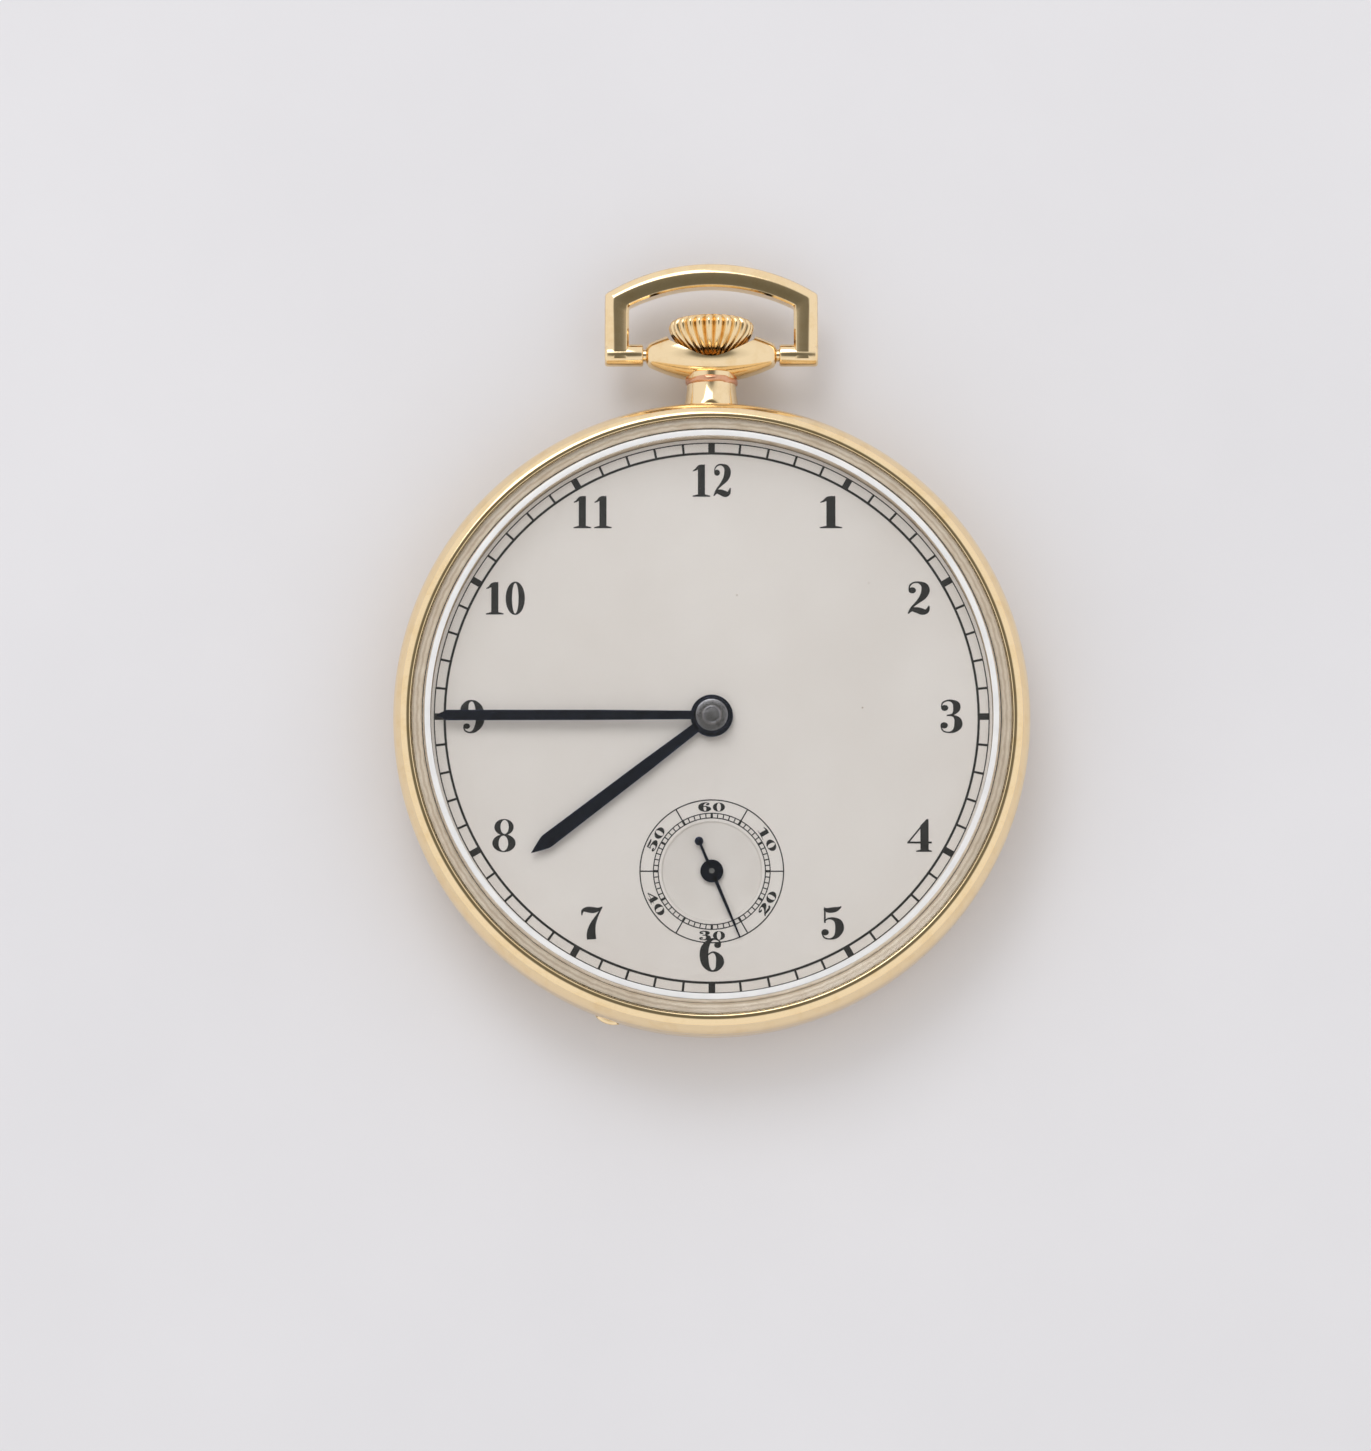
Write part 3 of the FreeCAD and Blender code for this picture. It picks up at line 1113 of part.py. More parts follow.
CENTRE_PIVOT_BORE = 0.30
HOUR_POCKET = 3.25
MINUTE_POCKET = 3.05
SETTING_POCKET = 1.70
STUD_RADIUS = 0.30
STUD_LOW = 3.85
JEWEL_THICK = 0.35
CENTRE_JEWEL_THICK = 0.45
CENTRE_JEWEL_BORE = 0.22
ENDSTONE_GAP = 0.22
SECONDS_BORE = 0.28
PIVOT_WINDOW = 0.25
KEYLESS_SCREW_RADIUS = 0.32
KEYLESS_SCREW_HEAD = 0.62
KEYLESS_SCREW_DEPTH = 0.60
SLIDING_SLOT = (1.75, 8.45, 13.00)
WINDING_SLOT = (1.85, 12.80, 15.05)
YOKE_POCKET = (-5.40, -1.00, 9.20, 14.60)
SPRING_POCKET = (-7.20, -1.00, 12.20, 14.60)
LEVER_POCKET = (-1.00, 4.20, 15.05, 17.50)
PIN_SLOT = (-0.35, 0.35, 15.05, 16.90)
PILOT_BORE_END = 9.00
CASE_SCREW_HEAD = 0.97
CASE_SCREW_LOW = 3.90
CASE_SCREW_STEP = 4.18
CASE_SCREW_TOP = 5.00
CASE_SCREW_POCKET = 1.10
BRIDGE_REACH = 40.0
BRIDGE_CORNER = -4.50
BARREL_BRIDGE_START = -13.9
BARREL_BRIDGE_END = 160.0
BARREL_BRIDGE_FRONT = [(-17.5, 6.3), (-8.0, 3.4), (-1.9, -1.1), (6.4, -1.1)]
BARREL_BRIDGE_RIGHT = [(11.0, -4.5), (BRIDGE_EDGE_RADIUS, -4.5), (BRIDGE_EDGE_RADIUS, 1.0), (17.0, -1.2)]
BARREL_BRIDGE_LEFT = [(-17.6, 6.9), (-9.5, 4.5), (-7.2, 8.5), (-12.6, 14.2)]
CROWN_WHEEL_GROOVE = (4.42, 3.25, 2.10)
WINDING_ROOF = 1.50
SLIDING_ROOF = 1.82
SLIDING_ROOM = (8.40, 13.05)
WINDING_ROOM = (12.95, 15.05)
TRAIN_BRIDGE_OUTLINE = [
    (-5.9, -9.3), (-3.6, -8.3), (-0.4, -4.6), (2.4, -4.3), (7.6, -6.4), (18.0, -6.4), (22.0, -14.0),
    (12.0, -22.0), (-3.0, -22.0), (-3.4, -17.0), (-5.9, -11.6)]
TRAIN_BRIDGE_BLOCK = [(7.2, -8.0), (18.0, -6.6), (16.0, -12.0), (5.2, -14.6)]
TRAIN_BRIDGE_RIM = 16.20
COCK_ROOT_HALF = 1.90
COCK_TIP_HALF = 1.60
PALLET_COCK_ROOT = 1.00
PALLET_COCK_TIP = 0.75
PALLET_SCREW_HEAD_HEIGHT = 0.20
SEAT_GAP = 0.02
BORE_GAP = 0.04


def pocket(room, low, high):
    """Box over an (x0, x1, y0, y1) room."""
    return box(room[0], room[1], room[2], room[3], low, high)


def stem_room(half, ends, low, high):
    """Box astride the stem's axis between two distances along it."""
    return box(-half, half, ends[0], ends[1], low, high)


def hull_strip(start, start_radius, end, end_radius, low, high):
    """Tapered bar with round ends between two points."""
    length = math.hypot(end[0] - start[0], end[1] - start[1])
    angle = math.degrees(math.atan2(end[1] - start[1], end[0] - start[0]))
    outline = [(0, -start_radius), (length, -end_radius), (length, end_radius), (0, start_radius)]
    bar = flat(outline, low, high)
    return joined([placed(bar, start, angle), disc(start_radius, low, high, start),
                   disc(end_radius, low, high, end)])


def make_main_plate():
    body = joined([disc(PLATE_RADIUS, PLATE_BOTTOM, PLATE_TOP),
                   disc(PLATE_FLANGE_RADIUS, PLATE_FLANGE_BOTTOM, PLATE_TOP)])
    cuts = [
        disc(BARREL_POCKET, PLATE_BOTTOM, BARREL_RECESS_TOP, BARREL),
        disc(ARBOR_RADIUS + BORE_GAP, PLATE_BOTTOM, PLATE_TOP, BARREL),
        disc(CENTRE_POCKET, PLATE_BOTTOM, CENTRE_POCKET_TOP, CENTRE),
        disc(CENTRE_BORE, PLATE_BOTTOM, PLATE_TOP, CENTRE),
        disc(HOUR_POCKET, MOTION_FLOOR, PLATE_TOP, CENTRE),
        disc(MINUTE_POCKET, MOTION_FLOOR, PLATE_TOP, MINUTE_WHEEL),
        disc(SETTING_POCKET, MOTION_FLOOR, PLATE_TOP, SETTING_WHEEL),
        disc(STUD_RADIUS, PLATE_BOTTOM, PLATE_TOP, MINUTE_WHEEL),
        disc(STUD_RADIUS, PLATE_BOTTOM, PLATE_TOP, SETTING_WHEEL),
        stem_room(SLIDING_SLOT[0], SLIDING_SLOT[1:], PLATE_BOTTOM, PLATE_TOP),
        stem_room(WINDING_SLOT[0], WINDING_SLOT[1:], PLATE_BOTTOM, PLATE_TOP),
        pocket(YOKE_POCKET, MOTION_FLOOR, PLATE_TOP),
        pocket(SPRING_POCKET, MOTION_FLOOR, PLATE_TOP),
        pocket(LEVER_POCKET, MOTION_FLOOR, PLATE_TOP),
        pocket(PIN_SLOT, PLATE_BOTTOM + 0.2, PLATE_TOP),
        rod_y(STEM_BORE, 15.0, PLATE_RADIUS + 2.0),
        rod_y(STEM_PILOT_RADIUS + BORE_GAP, STEM_INNER_Y - 0.2, PILOT_BORE_END),
        disc(SECONDS_BORE, PLATE_BOTTOM, PLATE_TOP, FOURTH),
    ]
    for centre in (THIRD, FOURTH, ESCAPE, PALLET, BALANCE):
        cuts.append(disc(JEWEL_RADIUS, PLATE_BOTTOM, PLATE_BOTTOM + JEWEL_THICK, centre))
    for centre in (YOKE_PIVOT, LEVER_PIVOT, SPRING_SCREW):
        cuts.append(disc(KEYLESS_SCREW_RADIUS, MOTION_FLOOR - KEYLESS_SCREW_DEPTH, PLATE_TOP, centre))
    for centre in DIAL_FEET:
        cuts.append(disc(DIAL_FOOT_RADIUS, PLATE_TOP - DIAL_FOOT_LENGTH - 0.1, PLATE_TOP, centre))
    for centre in CASE_SCREWS:
        cuts.append(disc(CASE_SCREW_POCKET, PLATE_BOTTOM, CASE_SCREW_STEP + 0.03, centre))
        cuts.append(disc(SCREW_SHANK_RADIUS, CASE_SCREW_LOW + 0.10, CASE_SCREW_TOP, centre))
    for centre in BARREL_BRIDGE_SCREWS + TRAIN_BRIDGE_SCREWS + [COCK_SCREW, PALLET_FOOT]:
        cuts.append(disc(SCREW_SHANK_RADIUS, PLATE_BOTTOM, PLATE_BOTTOM + SCREW_GRIP, centre))
    for cut in cuts:
        body = body.cut(cut)
    return body


def screw_seat(body, centre, low, high):
    """Counterbore and clearance hole for a bridge screw."""
    body = body.cut(disc(SCREW_HEAD_RADIUS + SEAT_GAP, low, low + SCREW_HEAD_HEIGHT, centre))
    return body.cut(disc(SCREW_SHANK_RADIUS, low, high, centre))


def make_barrel_bridge():
    edge = disc(BRIDGE_EDGE_RADIUS, BARREL_BRIDGE_LOW, PLATE_BOTTOM)
    far = BRIDGE_REACH
    start = on_circle(CENTRE, far, BARREL_BRIDGE_START)
    end = on_circle(CENTRE, far, BARREL_BRIDGE_END)
    outline = [(8.5, BRIDGE_CORNER), (BRIDGE_EDGE_RADIUS, BRIDGE_CORNER), start, (far, far), (-far, far), end]
    outline += BARREL_BRIDGE_FRONT
    top = flat(outline, BARREL_BRIDGE_LOW, BARREL_BRIDGE_HIGH).common(edge)
    sector = flat(outline, BARREL_BRIDGE_HIGH, PLATE_BOTTOM)
    foot = sector.common(disc(BRIDGE_EDGE_RADIUS, BARREL_BRIDGE_HIGH, PLATE_BOTTOM))
    foot = foot.cut(disc(BRIDGE_FOOT_INNER, BARREL_BRIDGE_HIGH, PLATE_BOTTOM))
    right = flat(BARREL_BRIDGE_RIGHT, BARREL_BRIDGE_HIGH, PLATE_BOTTOM).common(sector).common(edge)
    left = flat(BARREL_BRIDGE_LEFT, BARREL_BRIDGE_HIGH, PLATE_BOTTOM).common(sector).common(edge)
    body = joined([top, foot, right, left])
    outer, inner, top = CROWN_WHEEL_GROOVE
    body = body.cut(ring(outer, inner, BARREL_BRIDGE_LOW, top, CROWN_WHEEL))
    body = body.cut(stem_room(WINDING_SLOT[0], WINDING_ROOM, WINDING_ROOF, BARREL_BRIDGE_HIGH))
    body = body.cut(stem_room(SLIDING_SLOT[0], SLIDING_ROOM, SLIDING_ROOF, BARREL_BRIDGE_HIGH))
    body = body.cut(rod_y(STEM_BORE + 0.1, 14.0, BRIDGE_EDGE_RADIUS + 1.0))
    body = body.cut(disc(RATCHET_SQUARE_HALF + SEAT_GAP, BARREL_BRIDGE_LOW, BARREL_BRIDGE_HIGH, BARREL))
    jewel_low = BARREL_BRIDGE_HIGH - CENTRE_JEWEL_THICK
    body = body.cut(disc(CENTRE_JEWEL_RADIUS, jewel_low, BARREL_BRIDGE_HIGH, CENTRE))
    body = body.cut(disc(CENTRE_PIVOT_BORE, BARREL_BRIDGE_LOW, BARREL_BRIDGE_HIGH, CENTRE))
    grip = BARREL_BRIDGE_LOW + CORE_SCREW_GRIP
    body = body.cut(disc(CORE_SCREW_RADIUS, BARREL_BRIDGE_LOW, grip, CROWN_WHEEL))
    body = body.cut(disc(CLICK_SCREW_RADIUS, BARREL_BRIDGE_LOW, BARREL_BRIDGE_LOW + CLICK_SCREW_GRIP, CLICK))
    grip = BARREL_BRIDGE_LOW + CLICK_SCREW_GRIP
    body = body.cut(disc(SCREW_SHANK_RADIUS, BARREL_BRIDGE_LOW, grip, CLICK_SPRING_SCREW))
    for centre in BARREL_BRIDGE_SCREWS:
        body = screw_seat(body, centre, BARREL_BRIDGE_LOW, PLATE_BOTTOM)
    return body



def make_train_bridge():
    edge = disc(BRIDGE_EDGE_RADIUS, TRAIN_BRIDGE_LOW, PLATE_BOTTOM)
    top = flat(TRAIN_BRIDGE_OUTLINE, TRAIN_BRIDGE_LOW, TRAIN_BRIDGE_HIGH).common(edge)
    sector = flat(TRAIN_BRIDGE_OUTLINE, TRAIN_BRIDGE_HIGH, PLATE_BOTTOM).common(edge)
    rim = sector.cut(disc(TRAIN_BRIDGE_RIM, TRAIN_BRIDGE_HIGH, PLATE_BOTTOM))
    block = flat(TRAIN_BRIDGE_BLOCK, TRAIN_BRIDGE_HIGH, PLATE_BOTTOM)
    body = joined([top, rim, block.common(edge)])
    for centre in (THIRD, FOURTH, ESCAPE):
        body = body.cut(disc(JEWEL_RADIUS, TRAIN_BRIDGE_HIGH - JEWEL_THICK, TRAIN_BRIDGE_HIGH, centre))
        body = body.cut(disc(PIVOT_WINDOW, TRAIN_BRIDGE_LOW, TRAIN_BRIDGE_HIGH, centre))
    for centre in TRAIN_BRIDGE_SCREWS:
        body = screw_seat(body, centre, TRAIN_BRIDGE_LOW, PLATE_BOTTOM)
    return body


def make_balance_cock():
    foot = flat(COCK_FOOT, COCK_LOW, PLATE_BOTTOM)
    arm = hull_strip(COCK_SCREW, COCK_ROOT_HALF, BALANCE, COCK_TIP_HALF, COCK_LOW, COCK_HIGH)
    body = joined([foot, arm])
    body = body.cut(disc(JEWEL_RADIUS, COCK_LOW, COCK_HIGH, BALANCE))
    return screw_seat(body, COCK_SCREW, COCK_LOW, PLATE_BOTTOM)


def make_pallet_cock():
    arm = hull_strip(PALLET_FOOT, PALLET_COCK_ROOT, PALLET, PALLET_COCK_TIP,
                     PALLET_COCK_LOW, PALLET_COCK_HIGH)
    body = joined([arm, disc(PALLET_COCK_ROOT, PALLET_COCK_HIGH, PLATE_BOTTOM, PALLET_FOOT)])
    body = body.cut(disc(JEWEL_RADIUS, PALLET_COCK_LOW, PALLET_COCK_HIGH, PALLET))
    seat_top = PALLET_COCK_LOW + PALLET_SCREW_HEAD_HEIGHT
    body = body.cut(disc(SCREW_HEAD_RADIUS + SEAT_GAP, PALLET_COCK_LOW, seat_top, PALLET_FOOT))
    return body.cut(disc(SCREW_SHANK_RADIUS, PALLET_COCK_LOW, PLATE_BOTTOM, PALLET_FOOT))


def bridge_screw(centre, low, turn, head_height=SCREW_HEAD_HEIGHT):
    head = disc(SCREW_HEAD_RADIUS, low, low + head_height, centre)
    shank = disc(SCREW_SHANK_RADIUS, low + head_height, PLATE_BOTTOM + SCREW_GRIP, centre)
    return slotted(joined([head, shank]), SCREW_HEAD_RADIUS + 0.18, low, centre, turn)


def make_bridge_screws():
    shapes = []
    for number, centre in enumerate(BARREL_BRIDGE_SCREWS):
        shapes.append(bridge_screw(centre, BARREL_BRIDGE_LOW, 25.0 + 47.0 * number))
    for number, centre in enumerate(TRAIN_BRIDGE_SCREWS):
        shapes.append(bridge_screw(centre, TRAIN_BRIDGE_LOW, 80.0 - 39.0 * number))
    shapes.append(bridge_screw(COCK_SCREW, COCK_LOW, 15.0))
    shapes.append(bridge_screw(PALLET_FOOT, PALLET_COCK_LOW, 55.0, PALLET_SCREW_HEAD_HEIGHT))
    return shapes


def make_case_screws():
    shapes = []
    for number, centre in enumerate(CASE_SCREWS):
        head = disc(CASE_SCREW_HEAD, CASE_SCREW_LOW, CASE_SCREW_STEP, centre)
        shank = disc(SCREW_SHANK_RADIUS, CASE_SCREW_STEP, CASE_SCREW_TOP, centre)
        screw = joined([head, shank])
        shapes.append(slotted(screw, CASE_SCREW_POCKET, CASE_SCREW_LOW, centre, 40.0 * number))
    return shapes


def jewel(centre, low, high, bore, outer=JEWEL_RADIUS):
    return ring(outer, bore, low, high, centre)


def make_jewels():
    bore = PIVOT_RADIUS + JEWEL_GAP
    plate_high = PLATE_BOTTOM + JEWEL_THICK
    bridge_low = TRAIN_BRIDGE_HIGH - JEWEL_THICK
    centre_low = BARREL_BRIDGE_HIGH - CENTRE_JEWEL_THICK
    shapes = []
    for centre in (THIRD, ESCAPE, PALLET, BALANCE):
        shapes.append(jewel(centre, PLATE_BOTTOM, plate_high, bore))
    shapes.append(jewel(FOURTH, PLATE_BOTTOM, plate_high, SECONDS_PIVOT_RADIUS + JEWEL_GAP))
    for centre in (THIRD, FOURTH, ESCAPE):
        shapes.append(jewel(centre, bridge_low, TRAIN_BRIDGE_HIGH, bore))
    shapes.append(jewel(PALLET, PALLET_COCK_LOW, PALLET_COCK_HIGH, bore))
    shapes.append(jewel(BALANCE, COCK_LOW + ENDSTONE_GAP, COCK_HIGH, bore))
    shapes.append(jewel(CENTRE, centre_low, BARREL_BRIDGE_HIGH, CENTRE_JEWEL_BORE, CENTRE_JEWEL_RADIUS))
    return shapes


def make_endstone():
    return disc(JEWEL_RADIUS, COCK_LOW, COCK_LOW + ENDSTONE_THICK, BALANCE)


CLICK_SPRING_BLADE = [(15.9, -4.0), (16.15, -4.0), (17.2, -0.9), (16.75, -0.3)]
CLICK_SPRING_EYE = 0.60
SPRING_SCREW_HEAD = 0.55


def make_click_spring():
    blade = flat(CLICK_SPRING_BLADE, WINDING_LOW, WINDING_HIGH)
    eye = disc(CLICK_SPRING_EYE, WINDING_LOW, WINDING_HIGH, CLICK_SPRING_SCREW)
    return joined([blade, eye]).cut(disc(SCREW_SHANK_RADIUS, WINDING_LOW, WINDING_HIGH, CLICK_SPRING_SCREW))


def make_click_spring_screw():
    low = WINDING_LOW - CLICK_SCREW_DROP
    shank = disc(SCREW_SHANK_RADIUS, low, BARREL_BRIDGE_LOW + CLICK_SCREW_GRIP, CLICK_SPRING_SCREW)
    head = disc(SPRING_SCREW_HEAD, low, WINDING_LOW, CLICK_SPRING_SCREW)
    return slotted(joined([shank, head]), SPRING_SCREW_HEAD + 0.15, low, CLICK_SPRING_SCREW, 110.0)


# ------------------------------------------- keyless work and motion work
YOKE_HALF_WIDTH = 0.18
YOKE_TIP = (0.60, 11.20)
LEVER_PIN = (0.0, 15.60)
LEVER_PIN_RADIUS = 0.20
LEVER_EYE = 0.75
LEVER_NOSE = 0.42
KEYLESS_BORE = 0.34
YOKE_EYE = 0.70
YOKE_WAIST = (-2.40, 10.94)
YOKE_SPRING_BLADE = [
    (-6.0, 14.2), (-6.0, 13.9), (-2.6, 12.95), (-2.45, 12.35), (-2.25, 12.40), (-2.35, 13.15)]
KEYLESS_HEAD_LOW = KEYLESS_HIGH + 0.02
KEYLESS_HEAD_TOP = KEYLESS_HIGH + 0.26
KEYLESS_SLOT_LOW = KEYLESS_HIGH + 0.14
MOTION_TOP = 5.06
MINUTE_STUD_TOP = 5.10
SETTING_STUD_TOP = 5.00


def make_setting_lever():
    arm = hull_strip(LEVER_PIVOT, LEVER_EYE, LEVER_PIN, LEVER_NOSE, KEYLESS_LOW, KEYLESS_HIGH)
    pin = disc(LEVER_PIN_RADIUS, STEM_HEIGHT + STEM_GROOVE_RADIUS + 0.05, KEYLESS_LOW, LEVER_PIN)
    return joined([arm, pin]).cut(disc(KEYLESS_BORE, KEYLESS_LOW, KEYLESS_HIGH, LEVER_PIVOT))


def make_yoke():
    arm = hull_strip(YOKE_PIVOT, YOKE_EYE, YOKE_TIP, YOKE_HALF_WIDTH, KEYLESS_LOW, KEYLESS_HIGH)
    slim = hull_strip(YOKE_WAIST, YOKE_HALF_WIDTH, YOKE_TIP, YOKE_HALF_WIDTH, KEYLESS_LOW, KEYLESS_HIGH)
    wide = arm.cut(box(YOKE_WAIST[0], 2.0, 9.0, 13.0, KEYLESS_LOW, KEYLESS_HIGH))
    return joined([wide, slim]).cut(disc(KEYLESS_BORE, KEYLESS_LOW, KEYLESS_HIGH, YOKE_PIVOT))


def make_yoke_spring():
    eye = disc(YOKE_EYE, KEYLESS_LOW, KEYLESS_HIGH, SPRING_SCREW)
    blade = flat(YOKE_SPRING_BLADE, KEYLESS_LOW, KEYLESS_HIGH)
    return joined([eye, blade]).cut(disc(KEYLESS_SCREW_RADIUS, KEYLESS_LOW, KEYLESS_HIGH, SPRING_SCREW))


def make_keyless_screws():
    shapes = []
    places = [(YOKE_PIVOT, 12.0), (LEVER_PIVOT, 64.0), (SPRING_SCREW, 97.0)]
    for centre, turn in places:
        shank_low = MOTION_FLOOR - KEYLESS_SCREW_DEPTH
        body = joined([disc(KEYLESS_SCREW_RADIUS, shank_low, KEYLESS_HEAD_TOP, centre),
                       disc(KEYLESS_SCREW_HEAD, KEYLESS_HEAD_LOW, KEYLESS_HEAD_TOP, centre)])
        slot = box(-0.8, 0.8, -SCREW_SLOT / 2, SCREW_SLOT / 2, KEYLESS_SLOT_LOW, KEYLESS_HEAD_TOP + 0.04)
        shapes.append(body.cut(placed(slot, centre, turn)))
    return shapes


def make_setting_wheel(turns):
    body = placed(gear(SETTING_WHEEL_TEETH, MINUTE_MODULE, KEYLESS_LOW, KEYLESS_HIGH), (0, 0),
                  turns["setting_wheel"])
    return placed(body.cut(disc(KEYLESS_BORE, KEYLESS_LOW, KEYLESS_HIGH)), SETTING_WHEEL)


def make_minute_wheel(turns):
    wheel = placed(gear(MINUTE_WHEEL_TEETH, MINUTE_MODULE, KEYLESS_LOW, KEYLESS_LOW + WHEEL_THICK), (0, 0),
                   turns["minute_wheel"])
    leaves = placed(gear(MINUTE_PINION_LEAVES, HOUR_MODULE, KEYLESS_LOW + WHEEL_THICK, MOTION_TOP), (0, 0),
                    turns["minute_pinion"])
    body = joined([wheel, leaves]).cut(disc(KEYLESS_BORE, KEYLESS_LOW, MOTION_TOP))
    return placed(body, MINUTE_WHEEL)


def make_studs():
    return [disc(STUD_RADIUS, STUD_LOW, MINUTE_STUD_TOP, MINUTE_WHEEL),
            disc(STUD_RADIUS, STUD_LOW, SETTING_STUD_TOP, SETTING_WHEEL)]


CANNON_PIPE_RADIUS = 0.58
CANNON_TOP_RADIUS = 0.50
HOUR_PIPE_RADIUS = 0.95
HOUR_PIPE_BORE = 0.62
DIAL_LOW = PLATE_TOP
DIAL_HIGH = 5.55
DIAL_RADIUS = 19.85
DIAL_CENTRE_HOLE = 1.10
SECONDS_SINK_RADIUS = 3.55
SECONDS_SINK = 0.12
SECONDS_HOLE = 0.50
HOUR_HAND_LOW = 5.98
HOUR_HAND_HIGH = 6.13
MINUTE_HAND_LOW = 6.38
MINUTE_HAND_HIGH = 6.50
SECONDS_HAND_LOW = 5.70
SECONDS_HAND_HIGH = 5.79
HOUR_HAND_TURN = 90.0 - 232.5
MINUTE_HAND_TURN = 90.0 - 270.0
SECONDS_HAND_TURN = 90.0 - 157.1
CANNON_LOW = 4.50
CANNON_LEAF_TOP = 4.78
CANNON_STEP = 6.30
CANNON_TOP = 6.60
HOUR_WHEEL_LOW = 4.88
WASHER_RADIUS = 1.70
WASHER_LOW = 5.08
WASHER_HIGH = 5.13
HAND_TIP_HALF = 0.02
HOUR_HAND_HUB = 1.50
HOUR_HAND_REACH = 15.98
MINUTE_HAND_HUB = 1.30
MINUTE_HAND_REACH = 19.40
COLLET_FLANGE = 1.14
COLLET_FLANGE_THICK = 0.10
COLLET_NECK = 0.68
COLLET_THICK = 0.22
SECONDS_REACH = 5.10
SECONDS_TAIL = 2.26
SECONDS_TIP_HALF = 0.05
SECONDS_MIDDLE_HALF = 0.12
SECONDS_TAIL_HALF = 0.10
SECONDS_BALL = 0.31
SECONDS_HUB = 0.81
SECONDS_PIPE = 0.38
SECONDS_PIPE_LOW = SECONDS_HAND_LOW - 0.22
SECONDS_PIPE_HIGH = SECONDS_HAND_HIGH + 0.05


def make_cannon_pinion():
    body = joined([gear(CANNON_LEAVES, MINUTE_MODULE, CANNON_LOW, CANNON_LEAF_TOP),
                   disc(CANNON_PIPE_RADIUS, CANNON_LEAF_TOP, CANNON_STEP),
                   disc(CANNON_TOP_RADIUS, CANNON_STEP, CANNON_TOP)])
    return body.cut(disc(CENTRE_POST_RADIUS, CANNON_LOW, CANNON_TOP))


def make_hour_wheel(turns):
    wheel = gear(HOUR_WHEEL_TEETH, HOUR_MODULE, HOUR_WHEEL_LOW, MOTION_TOP)
    wheel = placed(wheel, (0, 0), turns["hour_wheel"])
    pipe = disc(HOUR_PIPE_RADIUS, HOUR_WHEEL_LOW, HOUR_HAND_HIGH)
    return joined([wheel, pipe]).cut(disc(HOUR_PIPE_BORE, HOUR_WHEEL_LOW, HOUR_HAND_HIGH))


def make_dial_washer():
    return ring(WASHER_RADIUS, HOUR_PIPE_RADIUS + 0.05, WASHER_LOW, WASHER_HIGH)


def make_dial():
    body = disc(DIAL_RADIUS, DIAL_LOW, DIAL_HIGH)
    feet = [disc(DIAL_FOOT_RADIUS, DIAL_LOW - DIAL_FOOT_LENGTH, DIAL_LOW, centre) for centre in DIAL_FEET]
    body = joined([body] + feet)
    body = body.cut(disc(DIAL_CENTRE_HOLE, DIAL_LOW, DIAL_HIGH))
    body = body.cut(disc(SECONDS_SINK_RADIUS, DIAL_HIGH - SECONDS_SINK, DIAL_HIGH, FOURTH))
    return body.cut(disc(SECONDS_HOLE, DIAL_LOW, DIAL_HIGH, FOURTH))


def baton(hub, length, widths, point, levels, bore, turn):
    """Straight hand with a round hub and a pointed end; widths are at its root and shoulder."""
    low, high = levels
    root, shoulder = widths[0] / 2, widths[1] / 2
    blade = flat([(0, -root), (length - point, -shoulder), (length, -HAND_TIP_HALF), (length, HAND_TIP_HALF),
                  (length - point, shoulder), (0, root)], low, high)
    body = joined([blade, disc(hub, low, high)]).cut(disc(bore, low, high))
    return placed(body, CENTRE, turn)


def make_hour_hand():
    levels = (HOUR_HAND_LOW, HOUR_HAND_HIGH)
    return baton(HOUR_HAND_HUB, HOUR_HAND_REACH, (0.68, 1.03), 1.30, levels, HOUR_PIPE_RADIUS, HOUR_HAND_TURN)


def make_minute_hand():
    levels = (MINUTE_HAND_LOW, MINUTE_HAND_HIGH)
    return baton(MINUTE_HAND_HUB, MINUTE_HAND_REACH, (0.62, 0.74), 0.80, levels, CANNON_TOP_RADIUS,
                 MINUTE_HAND_TURN)


def make_minute_collet():
    flange = disc(COLLET_FLANGE, MINUTE_HAND_HIGH, MINUTE_HAND_HIGH + COLLET_FLANGE_THICK)
    neck = disc(COLLET_NECK, MINUTE_HAND_HIGH, MINUTE_HAND_HIGH + COLLET_THICK)
    return joined([flange, neck]).cut(disc(CANNON_TOP_RADIUS, MINUTE_HAND_HIGH, CANNON_TOP))


def make_seconds_hand():
    blade = flat([(-SECONDS_TAIL, -SECONDS_TAIL_HALF), (0, -SECONDS_MIDDLE_HALF),
                  (SECONDS_REACH, -SECONDS_TIP_HALF), (SECONDS_REACH, SECONDS_TIP_HALF),
                  (0, SECONDS_MIDDLE_HALF), (-SECONDS_TAIL, SECONDS_TAIL_HALF)],
                 SECONDS_HAND_LOW, SECONDS_HAND_HIGH)
    ball = disc(SECONDS_BALL, SECONDS_HAND_LOW, SECONDS_HAND_HIGH, (-SECONDS_TAIL, 0.0))
    hub = disc(SECONDS_HUB, SECONDS_HAND_LOW, SECONDS_HAND_HIGH)
    pipe = disc(SECONDS_PIPE, SECONDS_PIPE_LOW, SECONDS_PIPE_HIGH)
    body = joined([blade, ball, hub, pipe])
    body = body.cut(disc(SECONDS_PIVOT_RADIUS, SECONDS_PIPE_LOW, SECONDS_PIPE_HIGH))
    return placed(body, FOURTH, SECONDS_HAND_TURN)


